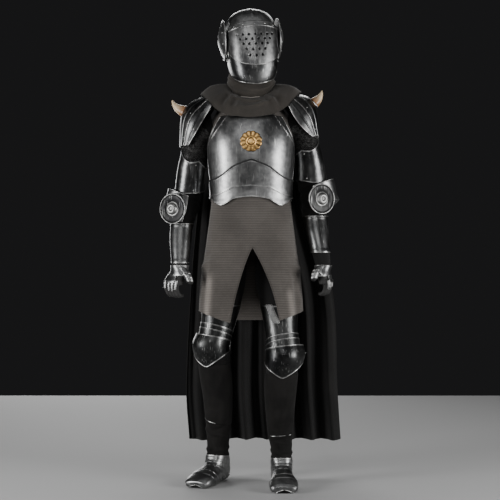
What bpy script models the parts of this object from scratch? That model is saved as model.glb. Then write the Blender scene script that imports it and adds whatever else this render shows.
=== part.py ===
"""Suit of plate armour over a knitted tunic, gloves, hose and boots, with a cape.

Metres, +Z up. The suit faces -Y and the wearer's right side is at -X. Heights in the tables are measured
from the ground, and the empty named Suit lowers everything so that the origin lies on the shoulder line,
where the wearer carries the suit. Angles round a section start at its front; on the trunk they run towards
+X, and on a limb they run outward, away from the trunk.
"""

import math

import bmesh
import bpy
from mathutils import Matrix, Vector

SHOULDER_HEIGHT = 1.50
SIDES = {"right": -1, "left": 1}

PLATE = 0.0015
CLOTH = 0.0020
LEATHER = 0.0022
SEAT = 0.0009
SEAT_TRUNK = 0.0009
MAIL_SEAT = 0.0008
VISOR_OUT = 0.0051
LAP = 0.0003
MAIL_RING = 0.0012
MERGE = 0.00005
CLOSE = 0.012
ROUND = [22.5 * k for k in range(16)]
FINE_ROUND = [15.0 * k for k in range(24)]

TUNIC_HEM = 0.648
TUNIC_TOP = 1.548
SLIT_TOP = 0.947
HEM_RISE = 0.045

HELMET_PIVOT = (0.002, -0.004, 1.777)
HELMET_ROLL = -3.6
HELMET_YAW = 8.0
HELMET_HALF_WIDTH = 0.0965
BROW = 25.0
VISOR_REST = -43.0
HUB_RADIUS = 0.0240
HUB_GAP = 0.0008
EAR_DISC_RADIUS = 0.080
HOLE_RADIUS = 0.0050
HOLES_TOP = 0.0

# Trunk: height, half_width, front, back.
TRUNK = (
    (0.62, 0.2090, 0.167, 0.152),
    (0.70, 0.2085, 0.161, 0.150),
    (0.80, 0.2030, 0.150, 0.147),
    (0.875, 0.1930, 0.141, 0.143),
    (0.96, 0.1800, 0.132, 0.137),
    (1.13, 0.1590, 0.118, 0.123),
    (1.20, 0.1600, 0.120, 0.120),
    (1.28, 0.1670, 0.128, 0.120),
    (1.36, 0.1710, 0.130, 0.120),
    (1.42, 0.1660, 0.122, 0.116),
    (1.47, 0.1480, 0.108, 0.108),
    (1.51, 0.1180, 0.092, 0.098),
    (1.56, 0.0862, 0.0785, 0.084),
)
TRUNK_X = 0.004
TRUNK_POWER = 2.35
ROSETTE_HEIGHT = 1.3575
ROSETTE_RADIUS = 0.041
ROSETTE_DEPTH = 0.004

# Slit in the tunic's front: height, right_edge, left_edge, as angles in degrees.
SLIT = (
    (0.620, -21.5, 31.5),
    (0.760, -13.5, 22.0),
    (0.860, -6.5, 12.0),
    (SLIT_TOP, 0.9, 0.9),
)

# Half angle that the breastplate spans: height, half_angle.
BREAST_SPAN = (
    (1.16, 86.0),
    (1.30, 86.0),
    (1.335, 83.0),
    (1.355, 72.0),
    (1.375, 60.0),
    (1.41, 46.0),
    (1.45, 35.0),
    (1.48, 29.0),
)

# Rows of the breastplate's net beside the armholes, where its edge runs slanting.
ARMHOLE_ROWS = [1.345, 1.360, 1.375, 1.392, 1.412, 1.437, 1.460]

# Edges of the lower plates: angle, plackart_top, fauld_top, plackart_bottom, fauld_bottom.
WAIST_EDGES = (
    (0.0, 1.284, 1.197, 1.187, 1.146),
    (20.0, 1.259, 1.190, 1.180, 1.137),
    (38.0, 1.228, 1.170, 1.160, 1.113),
    (52.0, 1.214, 1.162, 1.152, 1.120),
    (66.0, 1.210, 1.160, 1.150, 1.136),
    (86.0, 1.208, 1.158, 1.148, 1.142),
)

# Mantle: angle, neck_height, edge_out, edge_forward, edge_height.
MANTLE = (
    (0.0, 1.533, 0.000, 0.1420, 1.453),
    (28.0, 1.541, 0.086, 0.1330, 1.461),
    (50.0, 1.560, 0.137, 0.1230, 1.487),
    (66.0, 1.580, 0.163, 0.1040, 1.517),
    (84.0, 1.597, 0.197, 0.0300, 1.554),
    (98.0, 1.598, 0.197, -0.0250, 1.554),
    (122.0, 1.597, 0.160, -0.1050, 1.520),
    (150.0, 1.596, 0.086, -0.1400, 1.475),
    (180.0, 1.595, 0.000, -0.1480, 1.455),
)

# Arms: station, out_x, y, height, tilt, half_width, front, back. The tilt turns a section from level towards
# the armhole, which faces sideways.
ARM = {
    "right": (
        (0.85, 0.2765, -0.052, 0.850, 0.0, 0.0290, 0.0310, 0.0310),
        (0.881, 0.2770, -0.044, 0.881, 0.0, 0.0315, 0.0335, 0.0335),
        (0.96, 0.2770, -0.014, 0.960, 0.0, 0.0400, 0.0420, 0.0420),
        (1.04, 0.2720, 0.014, 1.040, 0.0, 0.0440, 0.0460, 0.0460),
        (1.10, 0.2540, 0.030, 1.100, 0.0, 0.0480, 0.0500, 0.0500),
        (1.177, 0.2425, 0.020, 1.177, 0.0, 0.0540, 0.0550, 0.0550),
        (1.26, 0.2340, 0.012, 1.260, 0.0, 0.0520, 0.0550, 0.0550),
        (1.34, 0.2220, 0.005, 1.340, 0.0, 0.0460, 0.0530, 0.0530),
        (1.40, 0.2050, 0.002, 1.385, 24.0, 0.0490, 0.0550, 0.0550),
        (1.46, 0.1780, 0.000, 1.414, 52.0, 0.0550, 0.0570, 0.0570),
        (1.50, 0.1460, 0.000, 1.425, 78.0, 0.0590, 0.0580, 0.0580),
    ),
    "left": (
        (0.85, 0.2900, -0.058, 0.850, 0.0, 0.0290, 0.0310, 0.0310),
        (0.881, 0.2880, -0.052, 0.881, 0.0, 0.0305, 0.0325, 0.0325),
        (0.926, 0.2800, -0.040, 0.926, 0.0, 0.0360, 0.0380, 0.0380),
        (1.00, 0.2690, -0.014, 1.000, 0.0, 0.0430, 0.0450, 0.0450),
        (1.07, 0.2620, 0.014, 1.070, 0.0, 0.0480, 0.0480, 0.0480),
        (1.13, 0.2560, 0.030, 1.130, 0.0, 0.0490, 0.0500, 0.0500),
        (1.20, 0.2480, 0.020, 1.200, 0.0, 0.0570, 0.0560, 0.0560),
        (1.28, 0.2400, 0.012, 1.280, 0.0, 0.0530, 0.0550, 0.0550),
        (1.32, 0.2337, 0.008, 1.320, 0.0, 0.0499, 0.0540, 0.0540),
        (1.36, 0.2270, 0.005, 1.360, 0.0, 0.0470, 0.0530, 0.0530),
        (1.42, 0.2070, 0.002, 1.408, 24.0, 0.0490, 0.0550, 0.0550),
        (1.47, 0.1780, 0.000, 1.432, 52.0, 0.0550, 0.0570, 0.0570),
        (1.50, 0.1460, 0.000, 1.440, 78.0, 0.0590, 0.0580, 0.0580),
    ),
}
ARM_TOP = 1.4992
ARMHOLE_TOP = 1.50

MAIL_BOTTOM = {"right": 1.26, "left": 1.28}
MAIL_TOP = {"right": 1.46, "left": 1.47}

# Arm plates: rerebrace_top, rerebrace_dip, rerebrace_bottom, elbow, vambrace_top, vambrace_bottom, glove_top,
# disc_reach, disc_slide.
ARM_LEVELS = {
    "right": (1.345, 0.050, 1.160, 1.099, 1.040, 0.884, 0.8790, 0.0845, 0.010),
    "left": (1.385, 0.040, 1.203, 1.138, 1.070, 0.926, 0.8790, 0.0795, -0.015),
}
# Couters: spike's height off the arm, flare of the upper rim, reach below and, outside, above the elbow.
COUTER_CREST, COUTER_FLARE, COUTER_REACH, COUTER_TOP = 0.050, 0.014, 0.050, 0.082

# Hands: step, out_x, y, height, tilt, half_thickness, half_breadth.
HAND = {
    "right": (
        (0.00, 0.2770, -0.0446, 0.8787, 0.0, 0.0312, 0.0332),
        (0.20, 0.2810, -0.0520, 0.8550, 0.0, 0.0280, 0.0370),
        (0.40, 0.2900, -0.0600, 0.8300, 8.0, 0.0240, 0.0430),
        (0.60, 0.2990, -0.0660, 0.8050, 4.0, 0.0220, 0.0440),
        (0.75, 0.3020, -0.0650, 0.7830, -12.0, 0.0200, 0.0410),
        (0.88, 0.2930, -0.0600, 0.7620, -46.0, 0.0180, 0.0370),
        (1.00, 0.2730, -0.0560, 0.7540, -80.0, 0.0120, 0.0320),
    ),
    "left": (
        (0.00, 0.2881, -0.0524, 0.8787, 0.0, 0.0304, 0.0324),
        (0.20, 0.2890, -0.0590, 0.8550, 0.0, 0.0270, 0.0360),
        (0.40, 0.2920, -0.0660, 0.8300, 5.0, 0.0240, 0.0420),
        (0.60, 0.2960, -0.0710, 0.8080, 2.0, 0.0220, 0.0420),
        (0.75, 0.2970, -0.0700, 0.7880, -12.0, 0.0200, 0.0390),
        (0.88, 0.2880, -0.0650, 0.7690, -46.0, 0.0180, 0.0350),
        (1.00, 0.2700, -0.0610, 0.7620, -80.0, 0.0120, 0.0300),
    ),
}
HAND_TURN = {"right": 48.0, "left": 20.0}

# Thumbs: step, out_x, y, height, radius.
THUMB = {
    "right": (
        (0.0, 0.2680, -0.0760, 0.8640, 0.0140),
        (0.5, 0.2440, -0.0960, 0.8320, 0.0145),
        (1.0, 0.2310, -0.1030, 0.8010, 0.0115),
    ),
    "left": (
        (0.0, 0.2780, -0.0790, 0.8700, 0.0140),
        (0.5, 0.2570, -0.1030, 0.8450, 0.0145),
        (1.0, 0.2480, -0.1160, 0.8130, 0.0115),
    ),
}
THUMB_LEAN = 0.3

# Pauldrons: step, ridge_out, ridge_height, edge_out, edge_height, depth. The ridge runs from the neck over
# the shoulder's point; the edge is the front and back border.
PAULDRON = {
    "right": (
        (0.00, 0.150, 1.557, 0.138, 1.524, 0.088),
        (0.25, 0.200, 1.540, 0.164, 1.480, 0.096),
        (0.50, 0.248, 1.510, 0.190, 1.437, 0.094),
        (0.70, 0.273, 1.462, 0.213, 1.398, 0.086),
        (1.00, 0.278, 1.348, 0.243, 1.350, 0.066),
    ),
    "left": (
        (0.00, 0.146, 1.572, 0.126, 1.528, 0.088),
        (0.25, 0.192, 1.556, 0.152, 1.497, 0.096),
        (0.50, 0.238, 1.538, 0.180, 1.449, 0.094),
        (0.70, 0.264, 1.492, 0.208, 1.415, 0.086),
        (1.00, 0.272, 1.388, 0.246, 1.384, 0.066),
    ),
}
CAP_EDGE = 60.0
LAME_EDGE = 45.0

# Horns: step, out_x, height, radius.
HORN = {
    "right": (
        (0.0, 0.2641, 1.4894, 0.0240),
        (0.4, 0.2880, 1.5020, 0.0165),
        (0.8, 0.3050, 1.5200, 0.0080),
        (1.0, 0.3110, 1.5340, 0.0020),
    ),
    "left": (
        (0.0, 0.2575, 1.5235, 0.0220),
        (0.4, 0.2730, 1.5390, 0.0160),
        (0.8, 0.2840, 1.5580, 0.0080),
        (1.0, 0.2870, 1.5720, 0.0020),
    ),
}

# Legs: height, out_x, y, half_width, front, back.
LEG = {
    "right": (
        (0.14, 0.1300, 0.050, 0.0430, 0.0450, 0.0450),
        (0.18, 0.1290, 0.046, 0.0460, 0.0460, 0.0470),
        (0.25, 0.1270, 0.036, 0.0500, 0.0480, 0.0520),
        (0.34, 0.1300, 0.020, 0.0550, 0.0520, 0.0620),
        (0.42, 0.1370, 0.005, 0.0600, 0.0560, 0.0680),
        (0.50, 0.1450, -0.010, 0.0600, 0.0590, 0.0620),
        (0.56, 0.1480, -0.018, 0.0600, 0.0620, 0.0600),
        (0.62, 0.1310, -0.010, 0.0620, 0.0680, 0.0680),
        (0.72, 0.1140, -0.002, 0.0740, 0.0800, 0.0820),
        (0.82, 0.1000, 0.004, 0.0800, 0.0880, 0.0900),
        (1.01, 0.0883, 0.004, 0.0740, 0.0880, 0.0940),
    ),
    "left": (
        (0.13, 0.1250, -0.034, 0.0420, 0.0450, 0.0450),
        (0.17, 0.1230, -0.036, 0.0450, 0.0450, 0.0460),
        (0.24, 0.1200, -0.042, 0.0500, 0.0470, 0.0510),
        (0.32, 0.1190, -0.052, 0.0560, 0.0520, 0.0620),
        (0.40, 0.1210, -0.064, 0.0620, 0.0560, 0.0680),
        (0.47, 0.1270, -0.074, 0.0620, 0.0580, 0.0620),
        (0.53, 0.1320, -0.078, 0.0600, 0.0620, 0.0600),
        (0.62, 0.1240, -0.054, 0.0620, 0.0660, 0.0680),
        (0.72, 0.1150, -0.032, 0.0740, 0.0780, 0.0820),
        (0.82, 0.1040, -0.013, 0.0830, 0.0860, 0.0900),
        (1.01, 0.0995, 0.004, 0.0750, 0.0900, 0.0960),
    ),
}
LEG_TURN = {"right": 26.0, "left": 2.0}
# Leg plates: knee, cuisse_top, greave_top, greave_bottom.
LEG_LEVELS = {
    "right": (0.560, 0.715, 0.482, 0.250),
    "left": (0.522, 0.715, 0.450, 0.205),
}
HOSE_TOP = 1.01
HOSE_IN_GREAVE = 0.06
BOOT_TOP = 0.300

# Reach of the knee's plates above and below the knee, and how far the knob and the side wing stand out.
CUISSE_LOW = 0.045
LAMES_LOW, LAMES_HIGH = 0.020, 0.085
POLEYN_SIDE, POLEYN_POINT, POLEYN_TOP = 0.030, 0.085, 0.036
KNOB, WING, WING_ANGLE = 0.020, 0.016, 92.0

# Feet: step, top_forward, top_up, heel_forward, heel_up, half_width, all from the ankle's foot point.
FOOT = (
    (0.00, 0.0450, 0.150, -0.0450, 0.150, 0.0430),
    (0.15, 0.0500, 0.116, -0.0500, 0.102, 0.0410),
    (0.30, 0.0600, 0.096, -0.0580, 0.054, 0.0400),
    (0.42, 0.0720, 0.084, -0.0560, 0.016, 0.0390),
    (0.55, 0.0900, 0.076, -0.0100, 0.0035, 0.0390),
    (0.70, 0.1220, 0.066, 0.0600, 0.0035, 0.0440),
    (0.85, 0.1580, 0.052, 0.1250, 0.0035, 0.0510),
    (0.95, 0.1820, 0.038, 0.1720, 0.0050, 0.0480),
    (1.00, 0.1920, 0.028, 0.1890, 0.0100, 0.0380),
)
FOOT_SCALE = {"right": 0.98, "left": 1.0}

# Helmet's profile in its middle plane: angle, radius. 0 is the front, 90 the crown, 180 the back.
PROFILE = (
    (-100.0, 0.2050),
    (-85.0, 0.2150),
    (-75.0, 0.2170),
    (-62.0, 0.2120),
    (-50.0, 0.1870),
    (-40.0, 0.1640),
    (-28.0, 0.1440),
    (-14.0, 0.1310),
    (0.0, 0.1250),
    (15.0, 0.1225),
    (30.0, 0.1210),
    (60.0, 0.1190),
    (90.0, 0.1170),
    (120.0, 0.1200),
    (150.0, 0.1250),
    (180.0, 0.1280),
    (205.0, 0.1340),
    (235.0, 0.1500),
    (250.0, 0.1760),
    (260.0, 0.2050),
)

# Cape: height, right_edge, left_edge, y, fold_depth.
CAPE = (
    (0.150, -0.252, 0.375, 0.215, 0.026),
    (0.350, -0.264, 0.362, 0.210, 0.024),
    (0.760, -0.245, 0.340, 0.195, 0.018),
    (1.100, -0.215, 0.240, 0.178, 0.011),
    (1.350, -0.180, 0.190, 0.158, 0.005),
    (1.500, -0.130, 0.140, 0.1354, 0.000),
)
CAPE_FOLDS = 7

STEEL = ((0.23, 0.23, 0.235), 0.30, 1.0)
BRASS = ((0.52, 0.36, 0.14), 0.35, 1.0)
HORN_IVORY = ((0.52, 0.38, 0.22), 0.40, 0.0)
MAIL = ((0.05, 0.05, 0.05), 0.50, 0.9)
KNIT = ((0.105, 0.088, 0.075), 0.95, 0.0)
KNIT_DARK = ((0.055, 0.045, 0.040), 0.95, 0.0)
BLACK_CLOTH = ((0.008, 0.008, 0.008), 0.95, 0.0)
BLACK_LEATHER = ((0.012, 0.012, 0.012), 0.60, 0.0)
SUEDE = ((0.022, 0.020, 0.019), 0.85, 0.0)


def blend(rows, at):
    """Values of a table at a position in its first column, on a smooth curve through its rows."""
    at = min(max(at, rows[0][0]), rows[-1][0])
    low = max(k for k in range(len(rows) - 1) if rows[k][0] <= at)
    first, second = rows[low], rows[low + 1]
    before, after = rows[max(low - 1, 0)], rows[min(low + 2, len(rows) - 1)]
    span = second[0] - first[0]
    t = (at - first[0]) / span
    values = []
    for column in range(1, len(first)):
        start = (second[column] - before[column]) / (second[0] - before[0]) * span
        end = (after[column] - first[column]) / (after[0] - first[0]) * span
        values.append(
            (2 * t**3 - 3 * t**2 + 1) * first[column]
            + (t**3 - 2 * t**2 + t) * start
            + (3 * t**2 - 2 * t**3) * second[column]
            + (t**3 - t**2) * end
        )
    return values


def mix(low, high, share):
    return low + (high - low) * share


def spread(low, high, steps):
    """Evenly spaced values, both ends included."""
    return [mix(low, high, k / steps) for k in range(steps + 1)]


def stations(rows, low, high):
    """A table's own positions between two ends, and the ends, so that layers on one form keep one net."""
    return [low, *(row[0] for row in rows if low + CLOSE < row[0] < high - CLOSE), high]


def oval(angle, power):
    """Sine and cosine of an angle in degrees, squared off where the power is over 2."""
    sine, cosine = math.sin(math.radians(angle)), math.cos(math.radians(angle))
    return (
        math.copysign(abs(sine) ** (2 / power), sine),
        math.copysign(abs(cosine) ** (2 / power), cosine),
    )


def trunk(height, angle, out=0.0):
    """Point on the trunk, angle 0 in front and 90 at the wearer's left."""
    half_width, front, back = blend(TRUNK, height)
    across, ahead = oval(angle, TRUNK_POWER)
    depth = (front if ahead > 0 else back) + out
    return Vector((TRUNK_X + across * (half_width + out), -ahead * depth, height))


def arm(side, station, angle, out=0.0):
    """Point on an arm, angle 0 in front and 90 outside."""
    out_x, y, height, tilt, half_width, front, back = blend(ARM[side], station)
    across, ahead = oval(angle, 2.0)
    reach = across * (half_width + out)
    lean = math.radians(tilt)
    return Vector(
        (
            SIDES[side] * (out_x + reach * math.cos(lean)),
            y - ahead * ((front if ahead > 0 else back) + out),
            height + reach * math.sin(lean),
        )
    )


def hand(side, step, angle, out=0.0):
    """Point on a gloved hand, angle 90 on its back."""
    out_x, y, height, tilt, thickness, breadth = blend(HAND[side], step)
    across, ahead = oval(angle, 2.2)
    lean, turn = math.radians(tilt), math.radians(HAND_TURN[side] * min(1.0, step / 0.4))
    thick = across * (thickness + out)
    broad = ahead * (breadth + out)
    outward = thick * math.cos(lean) * math.cos(turn) - broad * math.sin(turn)
    forward = thick * math.cos(lean) * math.sin(turn) + broad * math.cos(turn)
    return Vector((SIDES[side] * (out_x + outward), y - forward, height + thick * math.sin(lean)))


def thumb(side, step, angle):
    """Point on a thumb, a round section across its path."""
    out_x, y, height, radius = blend(THUMB[side], step)
    sine, cosine = oval(angle, 2.0)
    rise = THUMB_LEAN * cosine * radius
    return Vector((SIDES[side] * (out_x + sine * radius), y - cosine * radius, height + rise))


def leg(side, height, angle, out=0.0):
    """Point on a leg, angle 0 where the knee points and 90 outside."""
    out_x, y, half_width, front, back = blend(LEG[side], height)
    across, ahead = oval(angle, 2.1)
    turn = math.radians(LEG_TURN[side])
    wide = across * (half_width + out)
    deep = ahead * ((front if ahead > 0 else back) + out)
    outward = wide * math.cos(turn) + deep * math.sin(turn)
    forward = deep * math.cos(turn) - wide * math.sin(turn)
    return Vector((SIDES[side] * (out_x + outward), y - forward, height))


def foot(side, step, angle, out=0.0):
    """Point on a foot, angle 0 on the instep and 180 on the sole."""
    size = FOOT_SCALE[side]
    top_forward, top_up, heel_forward, heel_up, half_width = (size * v for v in blend(FOOT, step))
    across, ahead = oval(angle, 2.5)
    length = math.hypot(top_forward - heel_forward, top_up - heel_up) / 2
    reach = ahead * (length + out) / length
    forward = (top_forward + heel_forward) / 2 + reach * (top_forward - heel_forward) / 2
    up = (top_up + heel_up) / 2 + reach * (top_up - heel_up) / 2
    wide = across * (half_width + out)
    ankle_x, ankle_y = LEG[side][0][1:3]
    turn = math.radians(LEG_TURN[side])
    outward = wide * math.cos(turn) + forward * math.sin(turn)
    ahead_y = forward * math.cos(turn) - wide * math.sin(turn)
    return Vector((SIDES[side] * (ankle_x + outward), ankle_y - ahead_y, up))


def pauldron(side, step, angle, out=0.0):
    """Point on a shoulder guard, angle 0 on its ridge and 90 on its front border."""
    ridge_out, ridge_height, edge_out, edge_height, depth = blend(PAULDRON[side], step)
    rise, ahead = math.cos(math.radians(angle)), math.sin(math.radians(angle))
    across, up = ridge_out - edge_out, ridge_height - edge_height
    size = math.hypot(across, up)
    grow = 1 + out / size
    return Vector(
        (
            SIDES[side] * (edge_out + across * grow * rise),
            -(depth + out) * ahead,
            edge_height + up * grow * rise,
        )
    )


def mantle(angle, share):
    """Point on the mantle, share 0 at the neck seam and 1 at its lower edge."""
    angle = (angle + 180) % 360 - 180
    neck_height, edge_out, edge_forward, edge_height = blend(MANTLE, abs(angle))
    side = -1 if angle < 0 else 1
    sine, cosine = oval(abs(angle), 2.0)
    neck = Vector((0.0975 * sine, -0.092 * cosine, neck_height))
    edge = Vector((edge_out, -edge_forward, edge_height))
    if side > 0:
        edge.z += 0.010 * sine
    middle = (neck + edge) / 2 + Vector((0.020 * sine, -0.022 * cosine, 0.016))
    point = neck * (1 - share) ** 2 + middle * 2 * share * (1 - share) + edge * share**2
    return Vector((TRUNK_X + side * point.x, point.y, point.z))


def collar(angle, share):
    """Point on the standing collar, share 0 at the mantle's seam and 1 at its top."""
    angle = (angle + 180) % 360 - 180
    sine, cosine = oval(angle, 2.0)
    neck_height = blend(MANTLE, abs(angle))[0]
    top = mix(1.642, 1.592, max(0.0, cosine) ** 2)
    half_width = mix(0.0967, 0.0873, share)
    depth = mix(0.0912, 0.080, share)
    height = mix(neck_height + LAP, top, share)
    return Vector((TRUNK_X + sine * half_width, -cosine * depth, height))


def helm(angle, share, out=0.0):
    """Point on the helmet in its own frame, share -1 to 1 from ear to ear."""
    radius = blend(PROFILE, angle)[0] + out
    lune = share * math.pi / 2
    reach = radius * math.sqrt(max(0.0, math.cos(lune)))
    turn = math.radians(angle)
    across = (HELMET_HALF_WIDTH + out) * math.sin(lune)
    return Vector((across, -reach * math.cos(turn), reach * math.sin(turn)))


def ear_share(angle, reach, out):
    """Share at which the helmet's surface lies at a given distance from the pivot line."""
    radius = blend(PROFILE, angle)[0] + out
    return math.acos((reach / radius) ** 2) * 2 / math.pi


def paint(thing, finish):
    """A material of the thing's own, from a colour, roughness and metallic value."""
    colour, roughness, metallic = finish
    material = bpy.data.materials.new(thing.name)
    material.use_nodes = True
    shader = material.node_tree.nodes["Principled BSDF"]
    shader.inputs["Base Color"].default_value = (*colour, 1.0)
    shader.inputs["Roughness"].default_value = roughness
    shader.inputs["Metallic"].default_value = metallic
    thing.data.materials.append(material)


def place(thing, carrier, finish):
    """Puts a piece in the suit's collection, on its carrier, with smooth shading and its finish."""
    suit_parts.objects.link(thing)
    thing.parent = carrier
    paint(thing, finish)
    thing.data.shade_smooth()
    return thing


def net_of(point, across, along, mirrored):
    """A grid of faces through point(a, b) for each a across and b along; a full round closes on itself."""
    net = bmesh.new()
    grid = [[net.verts.new(point(a, b)) for a in across] for b in along]
    closed = across in (ROUND, FINE_ROUND)
    columns = len(across) if closed else len(across) - 1
    for low, high in zip(grid, grid[1:]):
        for k in range(columns):
            after = (k + 1) % len(across)
            corners = (low[k], low[after], high[after], high[k])
            net.faces.new(corners[::-1] if mirrored else corners)
    return net


def shell(name, nets, thickness, finish, carrier, grow):
    """A wall of even thickness on one or more joined grids; grow 1 thickens outward and -1 inward."""
    mesh = bpy.data.meshes.new(name)
    whole = bmesh.new()
    for net in nets:
        net.to_mesh(mesh)
        whole.from_mesh(mesh)
        net.free()
    bmesh.ops.remove_doubles(whole, verts=whole.verts, dist=MERGE)
    bmesh.ops.dissolve_degenerate(whole, edges=whole.edges, dist=MERGE)
    whole.to_mesh(mesh)
    whole.free()
    thing = bpy.data.objects.new(name, mesh)
    wall = thing.modifiers.new("Wall", "SOLIDIFY")
    wall.thickness = thickness
    wall.offset = grow
    wall.use_even_offset = True
    return place(thing, carrier, finish)


def plate(name, point, across, along, finish=STEEL, carrier=None, mirrored=False):
    """A curved plate, thickened outward from its inner face."""
    net = net_of(point, across, along, mirrored)
    return shell(name, [net], PLATE, finish, carrier or suit, 1.0)


def cloth(name, point, across, along, finish, thickness=CLOTH, mirrored=False):
    """A panel or tube of cloth or leather, thickened inward from its outer face."""
    net = net_of(point, across, along, mirrored)
    return shell(name, [net], thickness, finish, suit, -1.0)


def turned(name, outline, segments, finish, carrier, matrix):
    """A solid turned about its own X axis from an outline of (x, radius) points."""
    mesh = bpy.data.meshes.new(name)
    mesh.from_pydata(
        [(x, 0.0, radius) for x, radius in outline],
        [(k, k + 1) for k in range(len(outline) - 1)],
        [],
    )
    thing = bpy.data.objects.new(name, mesh)
    screw = thing.modifiers.new("Turn", "SCREW")
    screw.axis = "X"
    screw.steps = screw.render_steps = segments
    screw.use_merge_vertices = True
    screw.merge_threshold = MERGE
    place(thing, carrier, finish)
    thing.matrix_local = matrix
    return thing


def solid_tube(name, point, along, mirrored):
    """A closed solid through round sections, with flat ends."""
    net = net_of(point, ROUND, along, mirrored)
    bmesh.ops.holes_fill(net, edges=[edge for edge in net.edges if edge.is_boundary])
    mesh = bpy.data.meshes.new(name)
    net.to_mesh(mesh)
    net.free()
    return bpy.data.objects.new(name, mesh)


def use_tool(thing, tool, operation="DIFFERENCE"):
    """Cuts a tool's shape out of a piece, or joins it to the piece."""
    if tool.name not in cutters.objects:
        cutters.objects.link(tool)
        tool.parent = thing.parent
        tool.hide_render = True
        tool.display_type = "WIRE"
    step = thing.modifiers.new(tool.name, "BOOLEAN")
    step.operation = operation
    step.object = tool
    step.solver = "EXACT"


def make_helmet():
    """Skull, visor and bevor in layers, and the two ear discs whose hubs the visor turns on."""

    def skull(share, v):
        end = mix(235.0, 258.0, min(1.0, abs(share) / 0.9) ** 2)
        return helm(mix(16.0, end, v), share)

    def visor(share, angle):
        reach = HUB_RADIUS + HUB_GAP
        return helm(angle, share * ear_share(angle, reach, VISOR_OUT), VISOR_OUT)

    def bevor(share, v):
        start = mix(-62.0, -99.0, min(1.0, abs(share) / 0.9) ** 3)
        return helm(mix(start, VISOR_REST + 7.0, v), share, PLATE + 2 * LAP)

    plate("helmet_skull", skull, spread(-0.985, 0.985, 14), spread(0, 1, 10), carrier=helmet)
    mask = plate(
        "helmet_visor", visor, spread(-1, 1, 16), spread(VISOR_REST, BROW, 5), carrier=visor_pivot
    )
    use_tool(mask, visor_holes())
    plate("helmet_bevor", bevor, spread(-0.9, 0.9, 14), spread(0, 1, 4), carrier=helmet)
    base = HELMET_HALF_WIDTH + PLATE + LAP
    dome = (
        (base + 0.0335, 0.0),
        (base + 0.0315, 0.030),
        (base + 0.0240, 0.060),
        (base + 0.0110, EAR_DISC_RADIUS),
        (base + 0.0080, EAR_DISC_RADIUS),
        (base + 0.0080, HUB_RADIUS),
        (base, HUB_RADIUS),
        (base, 0.0),
    )
    for side, sign in SIDES.items():
        facing = Matrix.Rotation(math.radians(0 if sign > 0 else 180), 4, "Z")
        turned("ear_disc_" + side, dome, 20, STEEL, helmet, facing)


def visor_holes():
    """Breathing holes in staggered rows, as one tool of short rods."""
    net = bmesh.new()
    for row, count in enumerate((7, 6, 5, 4, 3)):
        angle = HOLES_TOP - 8.0 * row
        for k in range(count):
            share = (k - (count - 1) / 2) * 0.155
            middle = helm(angle, share, VISOR_OUT)
            outward = helm(angle, share, 10 * VISOR_OUT) - middle
            facing = outward.to_track_quat("Z", "Y").to_matrix().to_4x4()
            bmesh.ops.create_cone(
                net,
                cap_ends=True,
                segments=6,
                radius1=HOLE_RADIUS,
                radius2=HOLE_RADIUS,
                depth=4 * HOLE_RADIUS,
                matrix=Matrix.Translation(middle) @ facing,
            )
    mesh = bpy.data.meshes.new("visor_holes")
    net.to_mesh(mesh)
    net.free()
    return bpy.data.objects.new("visor_holes", mesh)


def make_neck():
    """Mantle over the shoulders and the collar that stands on its neck seam."""
    cloth("mantle", lambda angle, v: mantle(angle, 1 - v), FINE_ROUND, spread(0, 1, 4), KNIT_DARK)
    cloth("collar", collar, FINE_ROUND, spread(0, 1, 2), KNIT_DARK)


def chest(height, angle, out):
    """Point on the chest's plates: close to the trunk at their borders and domed between them."""
    share = min(max((height - 1.12) / (1.50 - 1.12), 0.0), 1.0)
    dome = 0.020 * math.sin(math.pi * share) ** 0.8 * max(0.0, math.cos(math.radians(angle))) ** 1.2
    point = trunk(height, angle, out)
    point.y -= dome
    return point


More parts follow.
